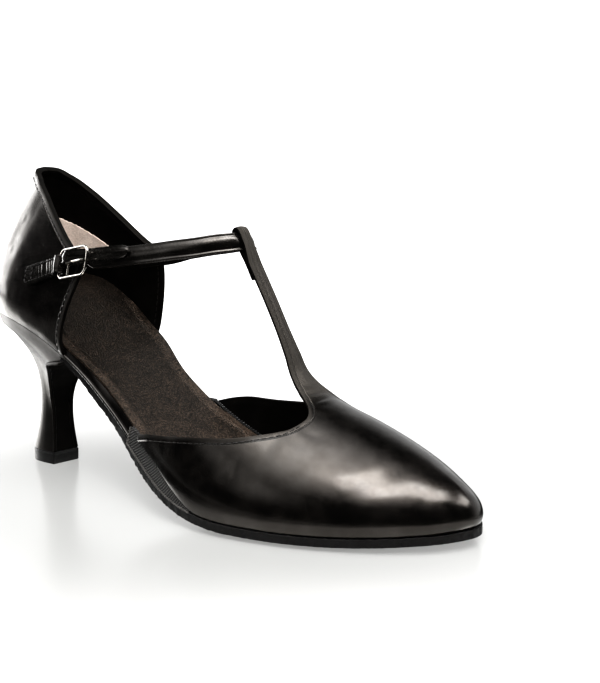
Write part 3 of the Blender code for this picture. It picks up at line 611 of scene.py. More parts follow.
@dataclass(frozen=True)
class QuarterForm:
    """Outer face of the heel quarter."""

    last: Last = Last()
    clear: float = 1.7
    seat_handle: float = 0.34
    top_handle: float = 0.32
    top_lean: float = 0.3
    front: float = 62.0
    tuck: float = 1.15
    tuck_span: float = 0.2

    def points(self, side: int, foot: Any, rise: Any) -> np.ndarray:
        """Points from the seat to the top edge.

        Args:
            side: Side of the foot.
            foot: Columns, by their place along the outline.
            rise: Places up each column, from 0 to 1.

        Returns:
            Points of the outer face.
        """
        foot = np.asarray(foot, float)
        mark = self.last.mark_at(foot)
        out = self.last.outward(side, mark)
        start = self.last.edge(side, mark) + out * self.clear
        start[..., 2] -= self.last.read("board", mark)
        ahead = column(TOPLINE, "foot", "x", foot)
        if side == Side.LATERAL:
            ahead = ahead + column(TOPLINE, "foot", "lead", foot)
        wide = int(side) * column(TOPLINE, "foot", "half", foot)
        end = np.stack([ahead, wide, column(TOPLINE, "foot", "z", foot)], axis=-1)
        height = (end - start)[..., 2:]
        bow = column(TOPLINE, "foot", named("bow", side), foot)[..., None] * np.array([1.0, 0.0, 0.0])
        low = column(TOPLINE, "foot", "low", foot)[..., None]
        high = column(TOPLINE, "foot", "high", foot)[..., None]
        first = start + out * low + UP * height * self.seat_handle + bow
        second = end + out * high - UP * height * self.top_handle + bow * 0.2
        second[..., 0] -= (end - start)[..., 0] * self.top_lean
        turned = np.clip(1 - np.asarray(rise, float) / self.tuck_span, 0.0, 1.0) ** 2
        return bezier(start, first, second, end, rise) - out * (self.tuck * turned)[..., None]

    def normal(self, side: int, foot: Any, rise: Any) -> np.ndarray:
        """Outward direction of the outer face.

        Args:
            side: Side of the foot.
            foot: Place of the column along the foot.
            rise: Share of the way up a column.

        Returns:
            Unit vectors.
        """
        foot = np.asarray(foot, float)
        rise = np.asarray(rise, float)
        along = self.points(side, foot + 0.05, rise) - self.points(side, foot - 0.05, rise)
        upward = self.points(side, foot, rise + 0.002) - self.points(side, foot, rise - 0.002)
        return unit(np.cross(along, upward) * -int(side))

    def at(self, side: int, x: Any, z: Any) -> tuple[np.ndarray, np.ndarray]:
        """Point and outward direction of the outer face at a place in side view.

        Args:
            side: Side of the foot.
            x: Place along the shoe.
            z: Height over the floor.

        Returns:
            The point and the direction.
        """
        foot = np.clip(np.asarray(x, float) - 6.0, 10.0, self.front)
        rise = np.full_like(foot, 0.5)
        for _ in range(14):
            here = self.points(side, foot, rise)
            along = (self.points(side, foot + 0.05, rise) - here) / 0.05
            upward = (self.points(side, foot, rise + 0.001) - here) / 0.001
            miss = np.stack([x - here[..., 0], z - here[..., 2]])
            det = along[..., 0] * upward[..., 2] - along[..., 2] * upward[..., 0]
            foot = foot + 0.8 * (miss[0] * upward[..., 2] - miss[1] * upward[..., 0]) / det
            rise = rise + 0.8 * (along[..., 0] * miss[1] - along[..., 2] * miss[0]) / det
            foot = np.clip(foot, 8.0, self.front)
            rise = np.clip(rise, 0.0, 1.1)
        return self.points(side, foot, rise), self.normal(side, foot, rise)


class Bench:
    """Modelling moves, made with Blender's operators in the shoe's frame."""

    origin = np.zeros(3)

    @classmethod
    def set_origin(cls, insole: Piece) -> None:
        """Find the shoe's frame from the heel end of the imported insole.

        Args:
            insole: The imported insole.
        """
        points = np.array([vertex.co[:] for vertex in insole.data.vertices])
        heel = points[np.argmin(points[:, 0])]
        cls.origin = np.array([heel[0] - SECTIONS[0].x * MM, heel[1], 0.0])

    @classmethod
    def metres(cls, points: np.ndarray) -> np.ndarray:
        """Shoe millimetres as metres in the part's frame."""
        return np.asarray(points, float) * MM + cls.origin

    @staticmethod
    def deselect() -> None:
        """Leave edit mode and select nothing."""
        active = bpy.context.view_layer.objects.active
        if active is not None and active.mode != "OBJECT":
            bpy.ops.object.mode_set(mode="OBJECT")
        bpy.ops.object.select_all(action="DESELECT")

    @classmethod
    def pick(cls, piece: Piece) -> None:
        """Make one piece the selected and active one.

        Args:
            piece: The piece.
        """
        cls.deselect()
        piece.select_set(True)
        bpy.context.view_layer.objects.active = piece

    @classmethod
    @contextmanager
    def editing(cls, piece: Piece) -> Iterator[None]:
        """Edit mode on one piece, with all of it selected.

        Args:
            piece: The piece.

        Returns:
            A context that ends in object mode.
        """
        cls.pick(piece)
        bpy.ops.object.mode_set(mode="EDIT")
        bpy.ops.mesh.select_all(action="SELECT")
        yield
        bpy.ops.object.mode_set(mode="OBJECT")

    @classmethod
    def grid(cls, name: str, points: np.ndarray) -> Piece:
        """Add a grid and shape it.

        Args:
            name: Name of the new piece.
            points: Shoe millimetres in rows, one row for each step along the grid.

        Returns:
            The new piece.
        """
        along, across, _ = points.shape
        cls.deselect()
        bpy.ops.mesh.primitive_grid_add(x_subdivisions=along - 1, y_subdivisions=across - 1, size=1.0)
        piece = bpy.context.view_layer.objects.active
        piece.name = name
        piece.data.name = name
        flat = cls.coordinates(piece)
        i = np.rint((flat[:, 0] + 0.5) * (along - 1)).astype(int)
        j = np.rint((flat[:, 1] + 0.5) * (across - 1)).astype(int)
        cls.reshape(piece, cls.metres(points[i, j]))
        cls.mark(piece, "number", i * across + j)
        return piece

    @staticmethod
    def listed(items: Any, name: str, width: int, kind: type) -> np.ndarray:
        """Read one property of all the items of a mesh.

        Args:
            items: Vertices, edges or stored values.
            name: The property.
            width: How many numbers each item has.
            kind: Kind of number.

        Returns:
            A row for each item.
        """
        flat = np.empty(len(items) * width, kind)
        items.foreach_get(name, flat)
        return flat.reshape(-1, width)

    @classmethod
    def coordinates(cls, piece: Piece) -> np.ndarray:
        """Vertex places of a piece, in metres."""
        return cls.listed(piece.data.vertices, "co", 3, np.float32).astype(float)

    @classmethod
    def normals(cls, piece: Piece) -> np.ndarray:
        """Vertex normals of a piece."""
        return cls.listed(piece.data.vertices, "normal", 3, np.float32).astype(float)

    @staticmethod
    def reshape(piece: Piece, points: np.ndarray) -> None:
        """Move the vertices of a piece to places in metres."""
        piece.data.vertices.foreach_set("co", np.asarray(points, np.float32).ravel())
        piece.data.update()

    @classmethod
    def shoe_points(cls, piece: Piece) -> np.ndarray:
        """Vertex places of a piece, in shoe millimetres."""
        return (cls.coordinates(piece) - cls.origin) / MM

    @classmethod
    def join(cls, name: str, pieces: Sequence[Piece]) -> Piece:
        """Join pieces into the first one.

        Args:
            name: Name of the piece.
            pieces: The pieces, of which the first one stays.

        Returns:
            The joined piece.
        """
        cls.pick(pieces[0])
        for piece in pieces:
            piece.select_set(True)
        bpy.ops.object.join()
        joined = bpy.context.view_layer.objects.active
        joined.name = name
        joined.data.name = name
        return joined

    @classmethod
    def weld(cls, piece: Piece, near: float = 0.00002, outward: bool = True) -> None:
        """Merge doubles, and turn the faces outward on a closed piece.

        Args:
            piece: The piece.
            near: Distance under which vertices merge.
            outward: Whether the faces are turned outward.
        """
        with cls.editing(piece):
            bpy.ops.mesh.remove_doubles(threshold=near)
            bpy.ops.mesh.select_all(action="SELECT")
            if outward:
                bpy.ops.mesh.normals_make_consistent(inside=False)

    @classmethod
    def face_toward(cls, piece: Piece, test: Callable[[np.ndarray, np.ndarray], float]) -> None:
        """Flip an open sheet if a test of its points and normals is negative.

        Args:
            piece: The piece.
            test: Function of points and normals, positive for faces that lie right.
        """
        if test(cls.shoe_points(piece), cls.normals(piece)) < 0:
            with cls.editing(piece):
                bpy.ops.mesh.flip_normals()

    @staticmethod
    def slots(piece: Piece, count: int) -> None:
        """Give a piece empty material slots up to a count."""
        while len(piece.data.materials) < count:
            piece.data.materials.append(None)

    @classmethod
    def thicken_down(cls, piece: Piece, steps: int) -> list[np.ndarray]:
        """Extrude the whole sheet downward into a closed solid.

        Args:
            piece: The sheet.
            steps: How many layers of faces its sides get.

        Returns:
            Indices of the vertices of each new layer, top to bottom.
        """
        layers = []
        cls.pick(piece)
        bpy.ops.object.mode_set(mode="EDIT")
        bpy.ops.mesh.select_mode(type="FACE")
        bpy.ops.mesh.select_all(action="SELECT")
        for _ in range(steps):
            bpy.ops.mesh.extrude_region_move(TRANSFORM_OT_translate={"value": (0.0, 0.0, -MM)})
            bpy.ops.object.mode_set(mode="OBJECT")
            layers.append(np.array([v.index for v in piece.data.vertices if v.select]))
            bpy.ops.object.mode_set(mode="EDIT")
        bpy.ops.object.mode_set(mode="OBJECT")
        return layers

    @classmethod
    def apply(cls, piece: Piece, kind: str, **settings: Any) -> None:
        """Add a modifier with its settings and apply it.

        Args:
            piece: The piece.
            kind: Kind of modifier.
            settings: The modifier's settings.
        """
        cls.pick(piece)
        modifier = piece.modifiers.new(kind.lower(), kind)
        for name, value in settings.items():
            setattr(modifier, name, value)
        bpy.ops.object.modifier_apply(modifier=modifier.name)

    @classmethod
    def round_edges(cls, piece: Piece, width: float, angle: float = 50.0, steps: int = 3) -> None:
        """Round every edge sharper than an angle."""
        cls.apply(piece, "BEVEL", width=width * MM, segments=steps, limit_method="ANGLE",
                  angle_limit=math.radians(angle), use_clamp_overlap=True, harden_normals=False)

    @classmethod
    def smooth(cls, piece: Piece, angle: float = 40.0) -> None:
        """Shade a piece smooth, with edges sharper than an angle kept."""
        cls.pick(piece)
        bpy.ops.object.shade_smooth_by_angle(angle=math.radians(angle))

    @classmethod
    def wall(cls, piece: Piece, thick: float, share: np.ndarray, edge: float) -> None:
        """Give a sheet its wall, with a lining inside and rounded cut edges.

        Args:
            piece: The sheet, facing outward.
            thick: Greatest thickness of the wall.
            share: Share of that thickness at each vertex.
            edge: Width of the rounding along the rims.
        """
        group = piece.vertex_groups.new(name="wall")
        for index, value in enumerate(share):
            group.add([index], float(value), "REPLACE")
        cls.slots(piece, 3)
        cls.apply(piece, "SOLIDIFY", thickness=thick * MM, offset=-1.0, use_even_offset=True, use_rim=True,
                  material_offset=1, material_offset_rim=2, vertex_group="wall")
        piece.vertex_groups.clear()
        cls.round_edges(piece, edge, 58.0, 3)
        cls.smooth(piece, 50.0)

    @classmethod
    def close_ends(cls, piece: Piece) -> None:
        """Fill every open end of a piece.

        Args:
            piece: The piece.
        """
        with cls.editing(piece):
            bpy.ops.mesh.select_mode(type="EDGE")
            bpy.ops.mesh.select_all(action="DESELECT")
            bpy.ops.mesh.select_non_manifold(extend=False, use_wire=False, use_multi_face=False,
                                             use_non_contiguous=False, use_verts=False)
            bpy.ops.mesh.fill_holes(sides=0)
            bpy.ops.mesh.select_all(action="SELECT")
            bpy.ops.mesh.normals_make_consistent(inside=False)

    @staticmethod
    def mark(piece: Piece, name: str, values: np.ndarray) -> None:
        """Store one number for each vertex."""
        layer = piece.data.attributes.get(name) or piece.data.attributes.new(name, "FLOAT", "POINT")
        layer.data.foreach_set("value", np.asarray(values, np.float32))

    @classmethod
    def read(cls, piece: Piece, name: str) -> np.ndarray:
        """Values stored on the vertices under a name."""
        return cls.listed(piece.data.attributes[name].data, "value", 1, np.float32)[:, 0]

    @classmethod
    def numbers(cls, piece: Piece) -> np.ndarray:
        """Number that each vertex had in its grid."""
        return np.rint(cls.read(piece, "number")).astype(int)

    @classmethod
    def edge_pairs(cls, piece: Piece) -> np.ndarray:
        """Vertex pairs of the edges."""
        return cls.listed(piece.data.edges, "vertices", 2, np.int32)

    @staticmethod
    def border(piece: Piece) -> np.ndarray:
        """Vertex pairs of the edges that have one face.

        Args:
            piece: The piece.

        Returns:
            Two vertex numbers for each edge.
        """
        keys, counts = np.unique(
            np.array([sorted(key) for face in piece.data.polygons for key in face.edge_keys]),
            axis=0, return_counts=True)
        return keys[counts == 1]

    @classmethod
    def relax(cls, piece: Piece, weight: np.ndarray, rounds: int) -> None:
        """Smooth the vertices by a weight; a border vertex follows only its border.

        Args:
            piece: The sheet to smooth.
            weight: How much each vertex may move in one round, from 0 to 1.
            rounds: How many rounds to make.
        """
        points = cls.coordinates(piece)
        pairs = cls.edge_pairs(piece)
        rim = cls.border(piece)
        on_rim = np.zeros(len(points), bool)
        on_rim[rim.ravel()] = True
        inner = np.concatenate([pairs, pairs[:, ::-1]])
        inner = inner[~on_rim[inner[:, 0]]]
        outer = np.concatenate([rim, rim[:, ::-1]])
        links = np.concatenate([inner, outer])
        count = np.bincount(links[:, 0], minlength=len(points))[:, None]
        for _ in range(rounds):
            total = np.zeros_like(points)
            np.add.at(total, links[:, 0], points[links[:, 1]])
            mean = np.where(count > 0, total / np.maximum(count, 1), points)
            points = points + (mean - points) * weight[:, None] * 0.5
        cls.reshape(piece, points)

    @classmethod
    def crease(cls, piece: Piece, creases: Sequence[Crease]) -> None:
        """Press soft troughs into a sheet along its normals.

        Args:
            piece: The piece.
            creases: The creases to press.
        """
        points = cls.shoe_points(piece)
        normals = cls.normals(piece)
        move = np.zeros(len(points))
        for one in creases:
            knots = np.array(one.points)
            line = through(knots, 40)
            gap = distance_to(points, line)
            ends = ease(0.0, 0.35, np.minimum(
                np.linalg.norm(points - line[0], axis=1), np.linalg.norm(points - line[-1], axis=1))
                / lengths(line)[-1] + 0.12)
            move -= one.depth * np.exp(-((gap / one.width) ** 2)) * ends
        cls.reshape(piece, cls.metres(points + normals * move[:, None]))

    @classmethod
    def tube(cls, name: str, path: np.ndarray, ups: np.ndarray, section: np.ndarray,
             closed: bool = False) -> Piece:
        """Carry a section along a path.

        Args:
            name: Name of the new piece.
            path: Points of the path.
            ups: Upward direction of the section at each point.
            section: Pairs of across and up, either one loop or one loop for each point.
            closed: Whether the path is a loop.

        Returns:
            The new piece, closed at its ends.
        """
        run = np.roll(path, -1, 0) - np.roll(path, 1, 0) if closed else np.gradient(path, axis=0)
        run = unit(run)
        side = unit(np.cross(run, ups))
        up = np.cross(side, run)
        loops = np.broadcast_to(section, (len(path),) + section.shape[-2:])
        rings = path[:, None] + side[:, None] * loops[..., :1] + up[:, None] * loops[..., 1:]
        rings = np.concatenate([rings, rings[:, :1]], axis=1)
        if closed:
            rings = np.concatenate([rings, rings[:1]], axis=0)
        piece = cls.grid(name, rings)
        cls.weld(piece)
        if not closed:
            cls.close_ends(piece)
        return piece

    @classmethod
    def scatter(cls, name: str, template: Piece, places: np.ndarray, axes: np.ndarray,
                sizes: np.ndarray) -> Piece:
        """Join many copies of a small template into one mesh and remove the template.

        Args:
            name: Name of the new piece.
            template: Small mesh of unit size.
            places: Shoe millimetres of the copies.
            axes: Three directions for each copy.
            sizes: Three sizes for each copy, in millimetres.

        Returns:
            The new piece.
        """
        shape = cls.coordinates(template)
        faces = [tuple(face.vertices) for face in template.data.polygons]
        moved = np.einsum("vk,nk,nkd->nvd", shape, sizes, axes) + places[:, None]
        mesh = bpy.data.meshes.new(name)
        step = len(shape)
        every = [tuple(i + n * step for i in face) for n in range(len(places)) for face in faces]
        mesh.from_pydata(cls.metres(moved.reshape(-1, 3)).tolist(), [], every)
        piece = bpy.data.objects.new(name, mesh)
        bpy.context.scene.collection.objects.link(piece)
        bpy.data.objects.remove(template, do_unlink=True)
        return piece


class Value:
    """A shader socket that takes part in sums."""

    def __init__(self, graph: "Graph", socket: bpy.types.NodeSocket) -> None:
        """Keep the graph and the socket."""
        self.graph = graph
        self.socket = socket

    def math(self, operation: str, *others: Any) -> "Value":
        """Add a Math node that starts with this value."""
        inputs = dict(enumerate((self,) + others))
        return self.graph.node("ShaderNodeMath", {"operation": operation}, inputs)

    def __add__(self, other: Any) -> "Value":
        """Sum."""
        return self.math("ADD", other)

    __radd__ = __add__

    def __sub__(self, other: Any) -> "Value":
        """Difference."""
        return self.math("SUBTRACT", other)

    def __rsub__(self, other: Any) -> "Value":
        """Difference the other way round."""
        return self.graph.node("ShaderNodeMath", {"operation": "SUBTRACT"}, {0: other, 1: self})

    def __mul__(self, other: Any) -> "Value":
        """Product."""
        return self.math("MULTIPLY", other)

    __rmul__ = __mul__

    def __pow__(self, other: Any) -> "Value":
        """Power."""
        return self.math("POWER", other)

    def step(self, low: float, high: float) -> "Value":
        """Smooth step from 0 at low to 1 at high."""
        return self.graph.node("ShaderNodeMapRange", {"interpolation_type": "SMOOTHSTEP"},
                               {"Value": self, "From Min": low, "From Max": high})

    def line(self, centre: float, half: float) -> "Value":
        """A soft line, 1 at the centre and 0 past its half width."""
        return 1 - (self - centre).math("ABSOLUTE").step(0.0, half)


class Graph:
    """The nodes of one material."""

    def __init__(self, name: str) -> None:
        """Start a material that holds only its shader and output.

        Args:
            name: Name of the material.
        """
        self.material = bpy.data.materials.new(name)
        self.material.use_nodes = True
        self.tree = self.material.node_tree
        self.shader = self.tree.nodes["Principled BSDF"]

    @classmethod
    def of_tree(cls, tree: bpy.types.NodeTree) -> "Graph":
        """Wrap a node tree that exists already.

        Args:
            tree: The node tree.

        Returns:
            The graph of that tree.
        """
        graph = cls.__new__(cls)
        graph.tree = tree
        return graph

    def put(self, socket: bpy.types.NodeSocket, value: Any) -> None:
        """Link a value to a socket, or set the socket.

        Args:
            socket: The socket.
            value: A value to link or a plain setting.
        """
        if isinstance(value, Value):
            self.tree.links.new(value.socket, socket)
        else:
            socket.default_value = value

    def node(self, kind: str, settings: dict[str, Any] | None = None, inputs: dict[Any, Any] | None = None,
             output: Any = 0) -> Value:
        """Add a node.

        Args:
            kind: Node type.
            settings: Properties that are set first.
            inputs: Values or links by socket name or index.
            output: Socket name or index to return.

        Returns:
            The chosen output.
        """
        made = self.tree.nodes.new(kind)
        for name, value in (settings or {}).items():
            setattr(made, name, value)
        for key, value in (inputs or {}).items():
            self.put(made.inputs[key], value)
        return Value(self, made.outputs[output])

    @cached_property
    def place(self) -> Value:
        """Object coordinates, in metres."""
        return self.node("ShaderNodeTexCoord", output="Object")

    def read(self, name: str) -> Value:
        """A number stored on the mesh."""
        return self.node("ShaderNodeAttribute", {"attribute_name": name}, output="Fac")

    def stretch(self, scale: Triple) -> Value:
        """Object coordinates with their own scale along each axis."""
        return self.node("ShaderNodeMapping", {}, {"Vector": self.place, "Scale": scale})

    def noise(self, size: float, detail: float = 3.0, vector: Value | None = None) -> Value:
        """Noise whose lumps have a size in millimetres."""
        return self.node("ShaderNodeTexNoise", {}, {
            "Vector": vector or self.place, "Scale": 1.0 / (size * MM), "Detail": detail, "Roughness": 0.55})

    def cells(self, size: float) -> Value:
        """Distance inside cells of a size in millimetres."""
        inputs = {"Vector": self.place, "Scale": 1.0 / (size * MM)}
        return self.node("ShaderNodeTexVoronoi", {}, inputs, "Distance")

    def axis(self, name: str, vector: Value | None = None) -> Value:
        """One coordinate of the object's place or of another vector."""
        return self.node("ShaderNodeSeparateXYZ", {}, {0: vector or self.place}, name)

    def away_from(self, point: Triple, vector: Value | None = None) -> Value:
        """Distance of the object's place, or of another vector, from a point."""
        inputs = {0: vector or self.place, 1: point}
        return self.node("ShaderNodeVectorMath", {"operation": "DISTANCE"}, inputs, "Value")

    def mix(self, share: Any, first: tuple, second: tuple) -> Value:
        """Blend of two colours.

        Args:
            share: Share of the second colour.
            first: First colour.
            second: Second colour.

        Returns:
            The blended colour.
        """
        made = self.node("ShaderNodeMix", {"data_type": "RGBA"}, {0: share}, 2)
        node = made.socket.node
        self.put(node.inputs[6], first)
        self.put(node.inputs[7], second)
        return made

    def bump(self, height: Value, depth: float, strength: float = 1.0, below: Value | None = None) -> Value:
        """Bump from a height, with its depth in millimetres.

        Args:
            height: Height over the surface.
            depth: Depth in millimetres.
            strength: Strength of the bump.
            below: Normal that the bump starts from.

        Returns:
            The bent normal.
        """
        inputs = {"Height": height, "Strength": strength, "Distance": depth * MM}
        if below is not None:
            inputs["Normal"] = below
        return self.node("ShaderNodeBump", {}, inputs)

    def finish(self, inputs: dict[str, Any]) -> Finish:
        """Set the shader's sockets.

        Args:
            inputs: Values of the shader's sockets.

        Returns:
            The material.
        """
        for name, value in inputs.items():
            self.put(self.shader.inputs[name], value)
        return self.material


def rgba(red: float, green: float, blue: float) -> tuple[float, float, float, float]:
    """Opaque colour."""
    return (red, green, blue, 1.0)


@dataclass(frozen=True)
class Leather:
    """Smooth black leather: fine pores, soft mottling and a thin polish."""

    name: str = "polished_leather"
    dark: tuple = rgba(0.0016, 0.0015, 0.0014)
    light: tuple = rgba(0.0046, 0.0041, 0.0037)
    worn: tuple = rgba(0.024, 0.022, 0.0195)
    sheen: tuple = rgba(1.0, 0.9, 0.8)
    roughness: float = 0.21
    spread: float = 0.1
    coat: float = 0.35
    coat_roughness: float = 0.1
    pores: float = 0.55
    pore_depth: float = 0.03
    ripple: float = 0.06
    seam: float = 0.0
    specular: float = 0.5
    strap: bool = False

    def make(self) -> Finish:
        """Build the material.

        Returns:
            The material.
        """
        graph = Graph(self.name)
        mottle = graph.noise(7.0, 4.0)
        grain = graph.noise(self.pores, 3.0)
        haze = graph.noise(1.6, 4.0)
        tone = mottle.step(0.32, 0.72)
        normal = graph.bump(graph.noise(12.0, 2.0), self.ripple, 0.6)
        normal = graph.bump(grain * 0.7 + haze * 0.8, self.pore_depth, 0.6, normal)
        rough = self.roughness + (mottle - 0.5) * self.spread + (haze - 0.5) * 0.18 + (grain - 0.5) * 0.1
        weight = self.coat * (0.6 + 0.8 * tone)
        if self.seam > 0.0:
            edge = graph.read("edge")
            groove = edge.line(self.seam, 0.45)
            roll = 1 - edge.step(0.2, self.seam)
            normal = graph.bump(roll * 0.6 - groove, 0.28, 0.8, normal)
            rough = rough + groove * 0.12 + roll * 0.3
            weight = weight * (1 - roll * 0.8)
        colour = graph.mix(tone, self.dark, self.light)
        if self.strap:
            band = graph.read("strap")
            colour = graph.mix(band * 0.9, colour, self.worn)
            normal = graph.bump(graph.cells(0.5) * band, 0.09, 0.7, normal)
            rough = rough + band * 0.16
            weight = weight * (1 - band)
        return graph.finish({
            "Base Color": colour,
            "Roughness": rough.math("MAXIMUM", 0.12),
            "Specular Tint": self.sheen, "Specular IOR Level": self.specular,
            "Coat Weight": weight, "Coat Roughness": self.coat_roughness, "Normal": normal})


@dataclass(frozen=True)
class SockLeather:
    """Dark brown sock leather with a fine pebble and a coarser band along its edge, painted lighter toward
    the toe and darker toward the heel as painted light and shade.
    """

    name: str = "sock_leather"
    dark: tuple = rgba(0.0035, 0.0029, 0.0024)
    light: tuple = rgba(0.054, 0.0395, 0.03)
    roughness: float = 0.5
    pebble: float = 0.75
    band: float = 5.0

    def make(self) -> Finish:
        """Build the material.

        Returns:
            The material.
        """
        graph = Graph(self.name)
        pebble = graph.cells(self.pebble)
        speck = graph.noise(0.5, 2.0)
        mottle = graph.noise(5.0, 4.0)
        edge = graph.read("edge")
        band = 1 - edge.step(self.band - 1.4, self.band + 1.0)
        streak = graph.noise(0.9, 2.0, graph.stretch((0.3, 1.0, 0.3)))
        height = (1 - pebble) * 0.8 + speck * 0.8 + streak * band * 0.8
        # painted light and shade: the colour is lighter toward the toe and darker toward the heel
        front = graph.axis("X").step(-0.05, 0.03)
        share = ((1 - pebble) * 0.9 + (speck - 0.5) * 1.7 + (mottle - 0.5) * 0.7 + band * 0.25 + front * 0.38
                 - 0.34).step(0.0, 1.0)
        return graph.finish({
            "Base Color": graph.mix(share, self.dark, self.light),
            "Roughness": self.roughness + (speck - 0.5) * 0.3 - band * 0.06,
            "Specular Tint": rgba(1.0, 0.9, 0.8), "Specular IOR Level": 0.3,
            "Normal": graph.bump(height, 0.3, 0.9)})


@dataclass(frozen=True)
class Suede:
    """Napped suede with short fibres."""

    name: str = "sole_suede"
    dark: tuple = rgba(0.0008, 0.0007, 0.0007)
    light: tuple = rgba(0.0045, 0.0041, 0.0038)
    nap: float = 0.45
    depth: float = 0.16
    sheen: float = 0.06

    def make(self) -> Finish:
        """Build the material.

        Returns:
            The material.
        """
        graph = Graph(self.name)
        nap = graph.noise(self.nap, 4.0, graph.stretch((1.0, 2.2, 1.6)))
        brushed = graph.noise(6.0, 3.0)
        tone = (nap * 0.8 + brushed * 0.6 - 0.25).step(0.1, 0.85)
        return graph.finish({
            "Base Color": graph.mix(tone, self.dark, self.light),
            "Roughness": 0.86 + (nap - 0.5) * 0.2,
            "Sheen Weight": self.sheen, "Sheen Roughness": 0.4,
            "Normal": graph.bump(nap, self.depth, 0.9)})


@dataclass(frozen=True)
class Ribbed:
    """Black ribbed webbing: the ribs are modelled, the yarn is in the finish; the crests and the fold bead
    are painted lighter as painted highlight and the grooves darker as painted shade.
    """

    name: str = "ribbed_webbing"
    dark: tuple = rgba(0.0015, 0.0015, 0.0015)
    light: tuple = rgba(0.038, 0.035, 0.032)

    def make(self) -> Finish:
        """Build the material.

        Returns:
            The material.
        """
        graph = Graph(self.name)
        yarn = graph.noise(0.3, 3.0)
        # painted highlight on the rib crests and the fold bead, painted shade in the grooves
        painted_crest_light = graph.read("painted_crest_light")
        return graph.finish({
            "Base Color": graph.mix(painted_crest_light * painted_crest_light * (0.4 + yarn * 0.9), self.dark, self.light),
            "Roughness": 0.6 + (yarn - 0.5) * 0.2,
            "Sheen Weight": 0.15,
            "Normal": graph.bump(yarn, 0.08, 0.7)})


@dataclass(frozen=True)
class Rubber:
    """Dark grey top piece with fine scuffs."""

    name: str = "lift_rubber"
    dark: tuple = rgba(0.004, 0.004, 0.0039)
    light: tuple = rgba(0.013, 0.0125, 0.012)

    def make(self) -> Finish:
        """Build the material.

        Returns:
            The material.
        """
        graph = Graph(self.name)
        grit = graph.noise(0.4, 3.0)
        scuff = graph.noise(2.2, 3.0, graph.stretch((1.0, 1.0, 4.0)))
        return graph.finish({
            "Base Color": graph.mix(scuff.step(0.4, 0.75), self.dark, self.light),
            "Roughness": 0.48 + (scuff - 0.5) * 0.3,
            "Normal": graph.bump(grit * 0.6 + scuff * 0.5, 0.06, 0.7)})


@dataclass(frozen=True)
class Plated:
    """Bright plated wire with faint rubbing."""

    name: str = "plated_wire"
    bright: tuple = rgba(0.6, 0.57, 0.53)
    dull: tuple = rgba(0.3, 0.28, 0.26)

    def make(self) -> Finish:
        """Build the material.

        Returns:
            The material.
        """
        graph = Graph(self.name)
        rub = graph.noise(1.1, 4.0)
        return graph.finish({
            "Base Color": graph.mix(rub.step(0.5, 0.78), self.bright, self.dull),
            "Metallic": 1.0,
            "Roughness": 0.12 + rub.step(0.45, 0.8) * 0.16,
            "Normal": graph.bump(graph.noise(0.5, 2.0), 0.01, 0.4)})


@dataclass(frozen=True)
class Thread:
    """Waxed sewing thread with its twist."""

    name: str = "waxed_thread"
    dark: tuple = rgba(0.002, 0.002, 0.002)
    light: tuple = rgba(0.03, 0.0275, 0.025)

    def make(self) -> Finish:
        """Build the material.

        Returns:
            The material.
        """
        graph = Graph(self.name)
        twist = graph.noise(0.22, 2.0)
        return graph.finish({
            "Base Color": graph.mix(twist, self.dark, self.light),
            "Roughness": 0.38 + (twist - 0.5) * 0.2,
            "Normal": graph.bump(twist, 0.05, 0.7)})


def made(kind: type, **settings: Any) -> Any:
    """Field of a finish whose material is made with these settings."""
    return field(default_factory=lambda: kind(**settings).make())


@dataclass(frozen=True)
class Finishes:
    """Every finish of the shoe."""

    upper: Finish = made(Leather, seam=2.1, strap=True)
    quarter: Finish = made(Leather, name="quarter_leather", seam=2.3, roughness=0.22, coat=0.4)
    heel: Finish = made(Leather, name="heel_cover", roughness=0.4, coat=0.12, coat_roughness=0.3,
                        pore_depth=0.04)
    binding: Finish = made(Leather, name="board_cover", roughness=0.2, coat=0.55, coat_roughness=0.08,
                           pore_depth=0.015, ripple=0.03)
    piping: Finish = made(Leather, name="piping_gloss", roughness=0.14, spread=0.04, coat=1.0,
                          coat_roughness=0.06, pore_depth=0.01, ripple=0.02)
    strap: Finish = made(Leather, name="strap_leather", roughness=0.24, coat=0.6, coat_roughness=0.16,
                         pores=0.9, pore_depth=0.12, ripple=0.1)
    lining: Finish = made(Leather, name="lining_leather", dark=rgba(0.0012, 0.0011, 0.001),
                          light=rgba(0.0035, 0.0031, 0.0028), roughness=0.55, coat=0.0, pores=0.8,
                          pore_depth=0.05, specular=0.3)
    # cut edges of the leather, and also the painted shade of the heel's breast
    cut: Finish = made(Leather, name="cut_edge_and_breast_shade", dark=rgba(0.0012, 0.0011, 0.001),
                       light=rgba(0.003, 0.0027, 0.0024), roughness=0.55, coat=0.0, pores=0.4,
                       pore_depth=0.05, specular=0.14)
    grip: Finish = made(Suede, name="heel_grip_suede", dark=rgba(0.42, 0.335, 0.285),
                        light=rgba(0.8, 0.69, 0.61), nap=0.8, depth=0.2, sheen=0.3)
    sock: Finish = made(SockLeather)
    suede: Finish = made(Suede)
    ribbed: Finish = made(Ribbed)
    rubber: Finish = made(Rubber)
    metal: Finish = made(Plated)
    thread: Finish = made(Thread)


class Dresser:
    """Gives pieces their finish and hangs them on the frame."""

    def __init__(self, finishes: Finishes) -> None:
        """Keep the finishes."""
        self.finishes = finishes
        self.pieces: list[Piece] = []

    def dress(self, piece: Piece, slot: Slot, finishes: Sequence[Finish],
              replaces: Sequence[str] = ()) -> Piece:
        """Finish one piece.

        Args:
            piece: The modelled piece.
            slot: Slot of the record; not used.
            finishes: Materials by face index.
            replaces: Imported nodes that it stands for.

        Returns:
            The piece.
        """
        Bench.slots(piece, len(finishes))
        for index, finish in enumerate(finishes):
            piece.data.materials[index] = finish
        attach(piece, "root")
        if replaces:
            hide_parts(*replaces)
        self.pieces.append(piece)
        LOG.info("%s: %d faces", piece.name, len(piece.data.polygons))
        return piece


